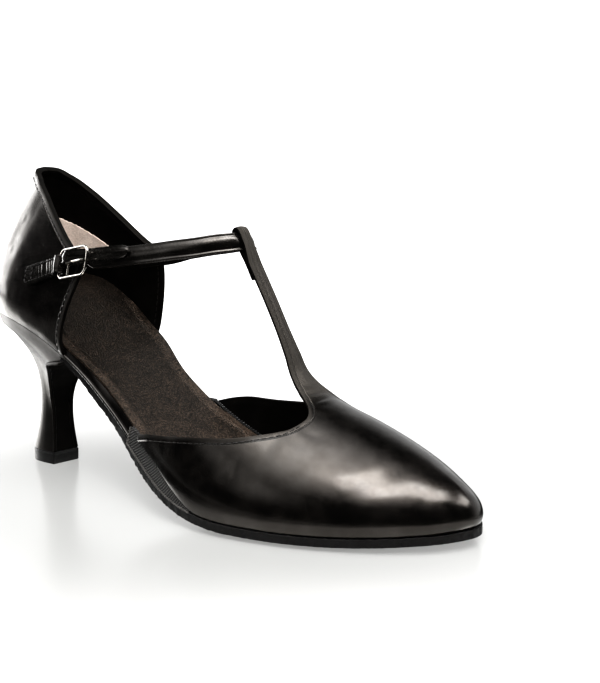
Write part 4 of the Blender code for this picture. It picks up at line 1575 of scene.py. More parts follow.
@dataclass
class Stitching:
    """Rows of lockstitch along lines on a face."""

    length: float = 1.9
    pitch: float = 2.5
    width: float = 0.42
    height: float = 0.3
    places: list[np.ndarray] = field(default_factory=list)
    axes: list[np.ndarray] = field(default_factory=list)
    sizes: list[np.ndarray] = field(default_factory=list)

    def row(self, line: np.ndarray, normals: np.ndarray, pitch: float | None = None) -> None:
        """Add one row.

        Args:
            line: Points of the row on the face.
            normals: Outward directions at the points.
            pitch: Distance from stitch to stitch.
        """
        pitch = pitch or self.pitch
        marks = lengths(line)
        count = max(2, int(marks[-1] / pitch))
        at = (np.arange(count) + 0.5) * marks[-1] / count
        here = read_line(line, marks, at)
        out = unit(read_line(normals, marks, at))
        run = unit(read_line(line, marks, at + 0.3) - read_line(line, marks, at - 0.3))
        side = unit(np.cross(out, run))
        self.places.append(here + out * 0.02)
        self.axes.append(np.stack([run, side, np.cross(run, side)], axis=1))
        long = self.length * pitch / self.pitch
        self.sizes.append(np.tile([long, self.width, self.height], (count, 1)))

    def build(self, name: str) -> Piece:
        """Join every stitch into one piece.

        Args:
            name: Name of the piece.

        Returns:
            The joined stitches.
        """
        Bench.deselect()
        bpy.ops.mesh.primitive_uv_sphere_add(segments=8, ring_count=6, radius=0.5)
        template = bpy.context.view_layer.objects.active
        points = Bench.coordinates(template)
        points = points[:, [2, 0, 1]]
        points[:, 0] = np.sign(points[:, 0]) * np.abs(points[:, 0] * 2) ** 0.7 / 2
        Bench.reshape(template, points)
        piece = Bench.scatter(name, template, np.concatenate(self.places), np.concatenate(self.axes),
                              np.concatenate(self.sizes))
        Bench.weld(piece, 0.000001)
        Bench.smooth(piece, 80.0)
        return piece


@dataclass
class Bottom:
    """Outsole, its loose fibres and the ribbed margins."""

    last: Last
    gap: float = 0.15
    heel_front: float = 59.3
    margin: float = 2.3
    narrow: float = 84.0
    full: float = 124.0
    flat_trim: float = 0.25
    waist_extra: float = 1.1
    waist_rear: tuple[float, float] = (66.0, 80.0)
    waist_front: tuple[float, float] = (112.0, 126.0)
    fray: float = 0.3
    fibre_count: int = 1100
    fibre_rear: float = 72.0
    rib_pitch: float = 1.2
    rib_depth: float = 0.5
    rib_tilt: float = 1.5
    rib_shear: float = 2.1
    rib_fold: float = 0.32
    rib_rear: dict[Side, float] = field(default_factory=lambda: {Side.LATERAL: 103.5, Side.MEDIAL: 94.0})
    rib_front: float = 143.0
    rib_rise: float = 2.2

    def grow(self, mark: np.ndarray) -> np.ndarray:
        """How far the outsole stands outside the insole's edge."""
        rear = self.last.mark_at(self.narrow)
        return self.margin * ease(float(rear), float(self.last.mark_at(self.full)), mark)

    def marks(self, start: float, count: int) -> np.ndarray:
        """Marks from a start to the toe, closer together at the toe.

        Args:
            start: First mark.
            count: Number of marks.

        Returns:
            The marks.
        """
        share = np.linspace(0.0, 1.0, count)
        end = self.last.marks[-1]
        return start + (end - start) * (share + 0.12 * np.sin(np.pi * share))

    def build_outsole(self) -> Piece:
        """Thin sole from the heel breast to the toe, with a worn edge.

        Returns:
            The finished piece.
        """
        mark = self.marks(float(self.last.mark_at(self.heel_front)), 260)
        across = np.sin(np.linspace(-1, 1, 31) * np.pi / 2)
        top = self.last.plate(mark, across, self.grow(mark))
        top[..., 2] -= (self.last.read("board", mark) + self.gap)[:, None]
        piece = Bench.grid("suede_outsole", top)
        Bench.weld(piece, outward=False)
        upper = Bench.shoe_points(piece)
        layers = Bench.thicken_down(piece, 3)
        points = Bench.shoe_points(piece)
        thick = np.interp(upper[:, 0], [row.x for row in SECTIONS], [row.sole for row in SECTIONS])
        lookup = {tuple(np.round(p[:2], 3)): (p[2], t) for p, t in zip(upper, thick)}
        wander = random.Random(5)
        for number, layer in enumerate(layers, start=1):
            for index in layer:
                z, deep = lookup[tuple(np.round(points[index, :2], 3))]
                x = points[index, 0]
                waist = ease(*self.waist_rear, x) * (1 - ease(*self.waist_front, x))
                deep += self.waist_extra * float(waist)
                points[index, 2] = z - (deep + self.flat_trim) * number / len(layers)
        rim = self.rim_mask(points)
        out = unit(points[:, :2] - np.array([130.0, 0.0]))
        rough = np.array([wander.uniform(-0.6, 1.0) for _ in points]) * self.fray
        points[:, :2] += out * (rough * rim)[:, None]
        points[:, 2] = np.maximum(points[:, 2], 0.0)
        Bench.reshape(piece, Bench.metres(points))
        Bench.weld(piece, 0.000001)
        Bench.smooth(piece, 50.0)
        return piece

    def rim_mask(self, points: np.ndarray) -> np.ndarray:
        """Which points lie on the outline of the sole.

        Args:
            points: Points in the shoe's frame, in millimetres.

        Returns:
            True for each point on the outline.
        """
        fine = self.marks(float(self.last.mark_at(self.heel_front)), 1200)
        grow = self.grow(fine)[:, None]
        line = np.concatenate([self.last.edge(s, fine) + self.last.outward(s, fine) * grow for s in Side])
        return (distance_to(points * [1, 1, 0], line * [1, 1, 0]) < 0.35).astype(float)

    def build_fibres(self) -> Piece:
        """Loose fibres along the cut edge of the sole.

        Returns:
            The finished piece.
        """
        wander = random.Random(11)
        first = float(self.last.mark_at(self.fibre_rear))
        places, axes, sizes = [], [], []
        for _ in range(self.fibre_count):
            side = wander.choice(list(Side))
            mark = np.array([wander.uniform(first, self.last.marks[-1])])
            out = self.last.outward(side, mark)[0]
            spot = self.last.edge(side, mark)[0] + out * (self.grow(mark)[0] - 0.1)
            board = float(self.last.read("board", mark)[0])
            spot[2] = max(spot[2] - board - wander.uniform(0.4, 2.6), 0.25)
            tilt = np.array([wander.gauss(0, 0.55), wander.gauss(0, 0.55), wander.gauss(-0.15, 0.5)])
            run = unit(out + tilt)
            side_axis = unit(np.cross(run, UP))
            long = 0.3 + 0.9 * wander.random() ** 3
            if wander.random() < 0.02:
                long = wander.uniform(1.2, 2.4)
            long = min(long, max(0.3, (spot[2] - 0.1) / max(0.05, -run[2]))) if run[2] < 0 else long
            places.append(spot)
            axes.append(np.stack([side_axis, np.cross(run, side_axis), run]))
            sizes.append((0.13, 0.13, long))
        Bench.deselect()
        bpy.ops.mesh.primitive_cone_add(vertices=4, radius1=0.5, radius2=0.12, depth=1.0,
                                        location=(0, 0, 0.5))
        bpy.ops.object.transform_apply(location=True)
        template = bpy.context.view_layer.objects.active
        piece = Bench.scatter("sole_fibres", template, np.array(places), np.array(axes), np.array(sizes))
        Bench.smooth(piece, 80.0)
        return piece

    def build_margin(self, side: Side) -> Piece:
        """Ribbed margin between the vamp's rear edge and the sole.

        Args:
            side: Side of the foot.

        Returns:
            The finished piece.
        """
        rear = self.rib_rear[side]
        mark = np.linspace(float(self.last.mark_at(rear)), float(self.last.mark_at(self.rib_front)), 420)
        edge = self.last.edge(side, mark)
        out = self.last.outward(side, mark)
        run = lengths(edge)
        low = edge[:, 2] - self.last.read("board", mark) - self.gap
        vamp_foot = column(VAMP, "x", named("low", side), edge[:, 0])
        high = np.minimum(edge[:, 2] + self.rib_rise, vamp_foot + 1.4)
        high = np.maximum(high, low + 0.4)
        rise = np.linspace(0.0, 1.0, 24)
        up = (high - low)[:, None] * rise[None]
        skew = run[:, None] + self.rib_shear * up * np.gradient(edge[:, 2], run)[:, None]
        wave = 0.5 + 0.5 * np.cos(2 * np.pi * skew / self.rib_pitch)
        soft = np.sin(np.pi * np.clip(rise * 0.9 + 0.08, 0, 1)) ** 0.25
        swell = 1.5 + self.rib_depth * (wave - 1.0) * soft[None]
        roll = ease(0.86, 1.0, rise)[None] * 0.35 + self.rib_tilt * (rise - 0.4)[None]
        grid = edge[:, None] + out[:, None] * (swell - roll)[..., None]
        grid[..., 2] = low[:, None] + up
        piece = Bench.grid(f"ribbed_margin_{side.name.lower()}", grid)
        Bench.face_toward(piece, lambda p, n: float(np.mean(n[:, 1])) * int(side))
        # the rib wave is stored for the finish's painted highlight on the crests and painted shade in the
        # grooves
        Bench.mark(piece, "painted_crest_light", wave.reshape(-1)[Bench.numbers(piece)])
        Bench.apply(piece, "SOLIDIFY", thickness=1.1 * MM, offset=-1.0, use_rim=True)
        fold = np.concatenate([grid[0, ::-1], grid[:, 0]]) + out[0] * 0.1
        bead = Bench.tube("fold", spaced(fold, 200), np.tile(out[0], (200, 1)), circle(self.rib_fold, 10))
        # the fold bead gets more than a crest's value, for a painted highlight along it
        Bench.mark(bead, "painted_crest_light", np.full(len(bead.data.vertices), 1.3))
        piece = Bench.join(piece.name, [piece, bead])
        Bench.smooth(piece, 60.0)
        return piece

    def dress(self, dresser: Dresser) -> None:
        """Build and finish every piece.

        Args:
            dresser: Dresser that takes the finished pieces.
        """
        looks = dresser.finishes
        dresser.dress(self.build_outsole(), Slot.SUEDE, [looks.suede], ["outsole"])
        dresser.dress(self.build_fibres(), Slot.SUEDE, [looks.suede])
        for side in Side:
            node = f"margin_{side.name.lower()}"
            dresser.dress(self.build_margin(side), Slot.SUEDE, [looks.ribbed], [node])


@dataclass
class Insole:
    """Insole board with its glossy cover and the sock on top."""

    last: Last
    sock_thick: float = 0.9
    sock_inset: float = 0.35
    pad: float = 8.5
    pad_span: tuple[float, float] = (30.0, 64.0)
    pad_draw: float = 0.1
    piping: float = 0.65
    slant: float = 1.7
    slant_rear: tuple[float, float] = (64.0, 86.0)
    slant_front: tuple[float, float] = (103.0, 112.0)
    piping_span: dict[Side, tuple[float, float]] = field(default_factory=lambda: {
        Side.LATERAL: (61.5, 110.0), Side.MEDIAL: (61.5, 102.0)})

    def shoulder(self, mark: np.ndarray) -> np.ndarray:
        """How far the top of the board lies inside its foot at the waist."""
        x = self.last.edge(Side.LATERAL, mark)[:, 0]
        return self.slant * ease(*self.slant_rear, x) * (1 - ease(*self.slant_front, x))

    def build_board(self) -> Piece:
        """Covered board with rounded edges.

        Returns:
            The finished piece.
        """
        mark = np.linspace(0.0, self.last.marks[-1], 240)
        across = np.sin(np.linspace(-1, 1, 25) * np.pi / 2)
        top = self.last.plate(mark, across, -self.shoulder(mark))
        top[..., 2] -= self.sock_thick
        under = self.last.plate(mark, across, np.zeros_like(mark))
        under[..., 2] -= self.last.read("board", mark)[:, None]
        piece = Bench.grid("insole_board", top)
        Bench.weld(piece, outward=False)
        layer = Bench.thicken_down(piece, 1)[0]
        points = Bench.shoe_points(piece)
        points[layer] = under.reshape(-1, 3)[Bench.numbers(piece)[layer]]
        Bench.reshape(piece, Bench.metres(points))
        Bench.weld(piece)
        Bench.round_edges(piece, 0.8, 55.0, 4)
        Bench.smooth(piece, 60.0)
        return piece

    def build_piping(self) -> Piece:
        """Glossy bead along the lower edge of the board at the waist.

        Returns:
            The finished piece.
        """
        pieces = []
        for side in Side:
            mark = np.linspace(*(float(self.last.mark_at(x)) for x in self.piping_span[side]), 120)
            out = self.last.outward(side, mark)
            line = self.last.edge(side, mark) + out * 0.15
            line[:, 2] -= self.last.read("board", mark) - self.piping
            ups = np.tile(UP, (len(line), 1))
            pieces.append(Bench.tube(f"piping_{side.name}", line, ups, circle(self.piping, 12)))
        piece = Bench.join("board_piping", pieces)
        Bench.smooth(piece, 70.0)
        return piece

    def build_sock(self) -> Piece:
        """Sock glued over the board, with a rolled edge.

        Returns:
            The finished piece.
        """
        mark = np.linspace(0.35, self.last.marks[-1] - 0.35, 320)
        across = np.sin(np.linspace(-1, 1, 61) * np.pi / 2)
        top = self.last.plate(mark, across, -self.sock_inset - self.shoulder(mark))
        base = (top - UP * self.sock_thick).reshape(-1, 3)
        rise = 1 - ease(*self.pad_span, top[..., 0])
        top[..., 2] += self.pad * rise
        top[..., 1] *= 1 - self.pad_draw * rise
        piece = Bench.grid("sock", top)
        points = Bench.shoe_points(piece)
        fine = np.linspace(0.0, self.last.marks[-1], 700)
        inset = self.shoulder(fine)[:, None]
        line = np.concatenate([self.last.edge(s, fine) - self.last.outward(s, fine) * inset for s in Side])
        edge = distance_to(points, line)
        Bench.mark(piece, "edge", edge)
        points[:, 2] += 0.22 * np.exp(-(((edge - 3.4) / 1.6) ** 2))
        points[:, 2] -= 0.1 * np.exp(-(((edge - 5.4) / 0.7) ** 2))
        Bench.reshape(piece, Bench.metres(points))
        layer = Bench.thicken_down(piece, 1)[0]
        points = Bench.shoe_points(piece)
        points[layer] = base[Bench.numbers(piece)[layer]]
        Bench.reshape(piece, Bench.metres(points))
        Bench.weld(piece)
        Bench.round_edges(piece, 0.32, 60.0, 3)
        Bench.smooth(piece, 60.0)
        return piece

    def dress(self, dresser: Dresser) -> None:
        """Build and finish both pieces.

        Args:
            dresser: Dresser that takes the finished pieces.
        """
        dresser.dress(self.build_board(), Slot.LEATHER, [dresser.finishes.binding], ["insole"])
        dresser.dress(self.build_piping(), Slot.LEATHER, [dresser.finishes.piping])
        dresser.dress(self.build_sock(), Slot.SOCK, [dresser.finishes.sock])


@dataclass
class Heel:
    """Covered heel and its lift."""

    last: Last
    front: float = 62.0
    wall: float = 0.62
    gap: float = 0.15
    lift_height: float = 4.8
    flap: float = 0.3
    flap_width: float = 1.6
    welt: float = 0.75
    arch_fall: float = 0.16
    arch: tuple = ((61.2, 24.5, 47.5), (58.4, 24.2, 46.6), (54.4, 23.2, 45.9), (49.6, 21.5, 45.0),
                   (45.6, 19.3, 44.1))
    lift_rows: tuple = ((4.8, 0.3), (4.5, 0.0), (4.1, 0.0), (3.95, 0.14), (3.8, 0.0), (0.0, 0.1))
    overlap: float = 0.9
    breast_from: float = 28.0
    ledge: float = 0.2

    def seat(self, count: int, breast: int) -> tuple[np.ndarray, np.ndarray]:
        """Seat outline as one loop.

        Args:
            count: Points along each side.
            breast: Points across the breast.

        Returns:
            Points of the loop and how far each lies across the breast, or 2 off the breast.
        """
        mark = np.linspace(float(self.last.mark_at(self.front)), 0.0, count)
        rows = []
        for side in Side:
            line = self.last.edge(side, mark) + self.last.outward(side, mark) * self.wall
            line[:, 2] -= self.last.read("board", mark) + self.gap
            rows.append(line)
        low, high = rows
        across = np.sin(np.linspace(-1, 1, breast) * np.pi / 2)
        share = (1 - across[1:-1, None]) / 2
        chest = high[0] + (low[0] - high[0]) * share[::-1]
        loop = np.concatenate([low, high[-2::-1], chest])
        place = np.concatenate([np.full(2 * count - 1, 2.0), across[1:-1][::-1]])
        return loop, place

    def build_heel(self) -> Piece:
        """Flared heel with the cover lapped over the breast's edges.

        Returns:
            The finished piece.
        """
        loop, place = self.seat(46, 41)
        depth = (self.front - loop[:, 0]) / (self.front - HEEL[0].back)
        wide = loop[:, 1] / HEEL[0].half
        tip = self.lift_height + self.gap
        falls = np.linspace(0.0, 1.0, 90) ** 1.2
        levels = []
        for fall in falls:
            back = float(column(HEEL, "fall", "back", fall))
            breast = float(column(HEEL, "fall", "breast", fall))
            half = float(column(HEEL, "fall", "half", fall))
            level = np.stack([breast - depth * (breast - back), wide * half,
                              loop[:, 2] + fall * (tip - loop[:, 2])], axis=1)
            if fall == 0.0:
                level = loop.copy()
            else:
                inside = (1 - np.abs(place)) * half
                lap = ease(self.flap_width, self.flap_width + 0.25, inside) * (np.abs(place) < 1.5)
                level[:, 0] -= self.flap * lap * ease(0.0, 0.06, fall)
            levels.append(level)
        rings = np.array([levels[0] + UP * self.overlap] + levels)
        rings = np.concatenate([rings, rings[:, :1]], axis=1)
        piece = Bench.grid("covered_heel", rings)
        Bench.weld(piece)
        Bench.close_ends(piece)
        Bench.round_edges(piece, 0.5, 52.0, 3)
        Bench.smooth(piece, 45.0)
        return piece

    def paint_breast(self, piece: Piece) -> None:
        """Put the faces of the breast into the second material slot, whose cut-edge finish is a darker,
        duller copy of the leather as painted shade.

        Args:
            piece: The piece.
        """
        Bench.slots(piece, 2)
        faces = piece.data.polygons
        normals = np.empty(len(faces) * 3, np.float32)
        faces.foreach_get("normal", normals)
        normals = normals.reshape(-1, 3)
        corners = Bench.shoe_points(piece)
        forward = np.array([corners[face.vertices[0], 0] for face in faces]) > self.breast_from
        turned = (normals[:, 0] > 0.3) | (normals[:, 2] < -0.5)
        breast = forward & turned & (np.abs(normals[:, 1]) < 0.5)
        faces.foreach_set("material_index", breast.astype(np.int32))

    def build_welt(self) -> Piece:
        """Rolled edge of the cover, arched at the top of the breast.

        Returns:
            The finished piece.
        """
        falls = np.linspace(self.arch_fall, 0.992, 50)
        corners = self.seat(2, 3)[0][[0, 2]]
        tip = self.lift_height + self.gap
        seat = corners[0, 2]
        edge = [column(HEEL, "fall", name, falls) for name in ("breast", "half")]
        side_line = np.stack([edge[0], edge[1] - self.welt * 0.6, seat + falls * (tip - seat)], axis=1)
        knots = np.concatenate([np.array(self.arch), side_line])
        line = spaced(through(knots, 400), 180)
        thin = np.interp(np.linspace(0.0, 1.0, len(line)), [0.0, 0.05, 0.4, 1.0], [0.5, 1.0, 0.75, 0.5])
        loops = circle(self.welt, 12) * thin[:, None, None]
        ups = np.tile([1.0, 0.0, 0.2], (len(line), 1))
        pieces = []
        for side, corner in zip(Side, corners):
            own = line * [1, corner[1] / abs(corners[0, 1]), 1]
            own[:, 2] += (corner[2] - seat) * np.clip((line[:, 2] - tip) / (seat - tip), 0.0, 1.0)
            pieces.append(Bench.tube(f"welt_{side.name}", own, ups, loops))
        piece = Bench.join("heel_welt", pieces)
        Bench.smooth(piece, 70.0)
        return piece

    def build_lift(self) -> Piece:
        """Lift with a fine groove under its top edge.

        Returns:
            The finished piece.
        """
        loop, _ = self.seat(46, 21)
        last = HEEL[-1]
        depth = (self.front - loop[:, 0]) / (self.front - HEEL[0].back)
        wide = loop[:, 1] / HEEL[0].half
        x = last.breast + self.ledge - depth * (last.breast + 2 * self.ledge - last.back)
        y = wide * (last.half + self.ledge)
        middle = np.array([x.mean(), y.mean()])
        rows = []
        for z, inset in self.lift_rows:
            plan = np.stack([x, y], axis=1)
            plan = plan + unit(middle - plan) * inset
            rows.append(np.concatenate([plan, np.full((len(x), 1), z)], axis=1))
        rings = np.array(rows)
        rings = np.concatenate([rings, rings[:, :1]], axis=1)
        piece = Bench.grid("rubber_lift", rings)
        Bench.weld(piece)
        Bench.close_ends(piece)
        Bench.round_edges(piece, 0.18, 40.0, 2)
        Bench.smooth(piece, 35.0)
        return piece

    def dress(self, dresser: Dresser) -> None:
        """Build and finish both pieces.

        Args:
            dresser: Dresser that takes the finished pieces.
        """
        heel = self.build_heel()
        # the breast takes the cut-edge finish, a darker, duller copy of the leather, as painted shade
        self.paint_breast(heel)
        dresser.dress(heel, Slot.LEATHER, [dresser.finishes.heel, dresser.finishes.cut], ["heel"])
        dresser.dress(self.build_welt(), Slot.LEATHER, [dresser.finishes.lining])
        dresser.dress(self.build_lift(), Slot.RUBBER, [dresser.finishes.rubber], ["heel_lift"])


@dataclass
class Vamp:
    """Vamp with the T-strap and its folded loop."""

    form: VampForm
    wall: float = 1.4
    rear: dict[Side, float] = field(default_factory=lambda: {Side.LATERAL: 110.5, Side.MEDIAL: 101.0})
    throat: float = 170.5
    strap_top: float = 142.5
    ribbon_from: float = 158.0
    section_from: float = 170.0
    toe_share: float = 0.8
    crown: float = 0.35
    strap_bow: float = 2.4
    bow_span: tuple[float, float] = (139.0, 163.0)
    roll: float = 1.8
    roll_span: float = 20.0
    roll_rear: tuple[float, float] = (114.0, 128.0)
    roll_front: tuple[float, float] = (148.0, 167.0)
    roll_height: tuple[float, float] = (50.0, 58.0)
    throat_soft: tuple[float, float] = (3.0, 8.0)
    throat_rounds: int = 40
    strap_front: float = 171.0
    strap_fade: float = 8.0
    strap_height: tuple[float, float] = (41.5, 45.5)
    rear_skive_width: float = 5.0
    top_skive_width: float = 3.0
    loop_centre: Triple = (131.8, 0.0, 96.6)
    loop_up: Triple = (-0.503, 0.0, 0.864)
    loop_out: Triple = (0.864, 0.0, 0.503)
    loop_half: float = 2.5
    loop_near: float = 2.2
    loop_top: float = 3.6
    loop_lap: float = 11.0
    loop_foot: float = 9.0
    rear_steps: int = 84
    front_steps: int = 76
    rows: int = 46
    half_rows: int = 9
    stitch_inset: float = 2.1
    rear_skive: float = 0.72
    top_skive: float = 0.3

    def top_share(self, side: Side, foot: float) -> float:
        """Share of a rear column that lies below the top edge.

        Args:
            side: Side of the foot.
            foot: Place of the column along the foot.

        Returns:
            The share.
        """
        corner = self.form.share_at_half(side, self.throat, FLARE[-1].half)
        own = self.form.share_at_height(side, foot)
        return own + (corner - own) * float(ease(self.throat - 1.2, self.throat, foot))

    def wing(self, side: Side) -> np.ndarray:
        """Columns of one side, from its rear edge to the tip of the toe.

        Args:
            side: Side of the foot.

        Returns:
            The points of each column.
        """
        share = np.linspace(0.0, 1.0, self.rear_steps)
        feet = self.rear[side] + (self.throat - self.rear[side]) * (1 - (1 - share) ** 1.6)
        tops = [(foot, self.top_share(side, foot)) for foot in feet]
        tops += [(foot, self.base_share(side, foot)) for foot in self.front_feet()[1:]]
        rise = np.linspace(0.0, 1.0, self.rows)
        return np.array([self.form.points(side, foot, rise * top) for foot, top in tops])

    def front_feet(self) -> np.ndarray:
        """Columns ahead of the throat, closer together at the tip."""
        share = np.linspace(0.0, 1.0, self.front_steps)
        return self.throat + (SECTIONS[-1].x - self.throat) * (1 - (1 - share) ** 1.9)

    def base_share(self, side: Side, foot: float) -> float:
        """Share of a front column that the wing takes.

        Args:
            side: Side of the foot.
            foot: Place of the column along the foot.

        Returns:
            The share.
        """
        corner = self.form.share_at_half(side, self.throat, FLARE[-1].half)
        ahead = (foot - self.throat) / (SECTIONS[-1].x - self.throat)
        return corner * (1 - ahead) + self.toe_share * ahead

    def over(self, foot: float, share: Callable[[Side], float]) -> np.ndarray:
        """Row over the ridge from the outer to the inner side.

        Args:
            foot: Place of the column along the foot.
            share: Share of a column at which each side's part of the row starts.

        Returns:
            The row's points.
        """
        halves = {}
        for side in Side:
            halves[side] = self.form.points(side, foot, np.linspace(share(side), 1.0, self.half_rows))
        return np.concatenate([halves[Side.LATERAL], halves[Side.MEDIAL][-2::-1]])

    def ribbon(self, x: float) -> np.ndarray:
        """Row of the T-strap: vamp section at its base, flat ribbon further up.

        Args:
            x: Place along the shoe.

        Returns:
            The row's points.
        """
        half = float(column(FLARE, "x", "half", x))
        section = self.over(x, lambda side: self.form.share_at_half(side, x, half))
        centre = self.form.last.ridge_point(x)
        run = self.form.last.ridge_point(x - 0.5) - self.form.last.ridge_point(x + 0.5)
        out = unit(np.cross(ACROSS, run))
        centre = centre + out * self.strap_bow * (1 - ease(*self.bow_span, x))
        w = np.clip((section[:, 1] - centre[1]) / half, -1.0, 1.0)
        flat = centre + ACROSS * (half * w)[:, None] - out * (self.crown * w**2)[:, None]
        share = float(ease(self.ribbon_from, self.section_from, x))
        return flat * (1 - share) + section * share

    def hook(self) -> np.ndarray:
        """Rows of the loop, up in front of the ankle strap, over it and down behind.

        Returns:
            The points of each row.
        """
        near = self.loop_near
        top = self.loop_top
        knots = [(-self.loop_foot, near - 0.9), (-6.5, near - 0.55), (-3.5, near - 0.2), (0.0, near)]
        knots += [(top, near)]
        knots += [(top + near * math.sin(a), near * math.cos(a)) for a in np.linspace(0, math.pi, 7)[1:]]
        knots += [(0.5, -near), (-top, -near + 0.05), (-top - 0.4 * self.loop_lap, -near + 0.3)]
        knots += [(-top - self.loop_lap, -near + 0.2)]
        line = through(np.array(knots), 84)
        up = np.array(self.loop_up)
        front = np.array(self.loop_out)
        centres = np.array(self.loop_centre) + line[:, :1] * up + line[:, 1:] * front
        out = unit(np.cross(np.tile(ACROSS, (len(line), 1)), np.gradient(centres, axis=0)))
        w = np.sin(np.linspace(-1, 1, 2 * self.half_rows - 1) * np.pi / 2)
        half = np.interp(np.arange(len(line)), [0, 16], [FLARE[0].half, self.loop_half])
        grid = centres[:, None] + ACROSS * (half[:, None] * w)[..., None]
        return grid - out[:, None] * (self.crown * w**2)[None, :, None]

    def build_upper(self) -> Piece:
        """One sheet from the wings, the crown, the T-strap and the loop, with its wall.

        Returns:
            The finished piece.
        """
        wings = [Bench.grid(f"wing_{side.name}", self.wing(side)) for side in Side]
        crown = np.array([self.over(foot, lambda side: self.base_share(side, foot))
                          for foot in self.front_feet()])
        rise = np.linspace(self.throat, self.strap_top, 54)
        strap = np.concatenate([np.array([self.ribbon(x) for x in rise]), self.hook()])
        sheets = wings + [Bench.grid("crown", crown), Bench.grid("t_strap", strap)]
        piece = Bench.join("vamp_upper", sheets)
        Bench.weld(piece, 0.00001)
        Bench.face_toward(piece, lambda p, n: float(np.mean(n[(p[:, 0] > 185) & (p[:, 2] > 20)][:, 2])))
        points = Bench.shoe_points(piece)
        corners = [self.form.points(s, self.throat, self.form.share_at_half(s, self.throat, FLARE[-1].half))
                   for s in Side]
        gap = np.min([np.linalg.norm(points - corner, axis=1) for corner in corners], axis=0)
        Bench.relax(piece, 1 - ease(*self.throat_soft, gap), self.throat_rounds)
        Bench.crease(piece, VAMP_CREASES)
        self.mark_edges(piece)
        points = Bench.shoe_points(piece)
        curl = self.curl(points, Bench.read(piece, "edge"))
        Bench.reshape(piece, Bench.metres(points - Bench.normals(piece) * curl[:, None]))
        Bench.wall(piece, self.wall, self.wall_share(piece), 0.42)
        return piece

    def mark_edges(self, piece: Piece) -> None:
        """Store how far each vertex lies from the top edge, and which lie on the T-strap.

        Args:
            piece: The piece.
        """
        points = Bench.shoe_points(piece)
        rim = Bench.border(piece)
        ends = points[rim]
        low = np.interp(ends[..., 0], [row.x for row in VAMP], [row.low_lateral for row in VAMP]) + 2.5
        free = (ends[..., 2] > low).any(axis=1)
        kept = ends[free]
        line = np.concatenate([kept[:, 0] * (1 - t) + kept[:, 1] * t for t in (0.0, 0.5)])
        Bench.mark(piece, "edge", distance_to(points, line))
        strap = ease(0.0, self.strap_fade, self.strap_front - points[:, 0])
        strap = strap * ease(*self.strap_height, points[:, 2])
        Bench.mark(piece, "strap", strap)

    def curl(self, points: np.ndarray, edge: Any) -> np.ndarray:
        """How far the wings roll inward at a distance from their top edge.

        Args:
            points: Points in the shoe's frame, in millimetres.
            edge: Distance from the top edge.

        Returns:
            A distance for each point.
        """
        along = ease(*self.roll_rear, points[..., 0]) * (1 - ease(*self.roll_front, points[..., 0]))
        along = along * (1 - ease(*self.roll_height, points[..., 2]))
        return self.roll * np.clip(1 - edge / self.roll_span, 0.0, 1.0) ** 2 * along

    def wall_share(self, piece: Piece) -> np.ndarray:
        """Share of the wall at each vertex, skived toward the rear edges and a little toward the top.

        Args:
            piece: The piece.

        Returns:
            A share for each vertex.
        """
        points = Bench.shoe_points(piece)
        rise = np.linspace(0.0, 1.0, 60)
        rears = [self.form.points(s, self.rear[s], rise * self.top_share(s, self.rear[s])) for s in Side]
        rear = distance_to(points, np.concatenate(rears))
        share = 1 - self.rear_skive * (1 - ease(0.0, self.rear_skive_width, rear))
        top = Bench.read(piece, "edge")
        return share * (1 - self.top_skive * (1 - ease(0.0, self.top_skive_width, top)))

    def stitch(self, stitching: Stitching) -> None:
        """Sew along both top edges of the wings.

        Args:
            stitching: Stitching that is sewn with.
        """
        for side in Side:
            line, normals = [], []
            for foot in np.linspace(self.rear[side] + 6.0, self.throat - 0.8, 110):
                top = self.top_share(side, foot)
                fine = np.linspace(max(0.0, top - 0.4), top, 80)
                share = set_back(self.form.points(side, foot, fine), fine, self.stitch_inset)
                here = self.form.points(side, foot, share)
                along = self.form.points(side, foot + 0.3, share) - here
                upward = self.form.points(side, foot, share + 0.01) - here
                out = unit(np.cross(along, upward)) * -int(side)
                line.append(here - out * self.curl(here, self.stitch_inset))
                normals.append(out)
            stitching.row(np.array(line), np.array(normals))

    def dress(self, dresser: Dresser) -> None:
        """Build and finish the vamp and its stitches.

        Args:
            dresser: Dresser that takes the finished pieces.
        """
        looks = dresser.finishes
        dresser.dress(self.build_upper(), Slot.LEATHER, [looks.upper, looks.lining, looks.cut], ["vamp"])
        stitching = Stitching()
        self.stitch(stitching)
        dresser.dress(stitching.build("vamp_stitches"), Slot.LEATHER, [looks.thread])


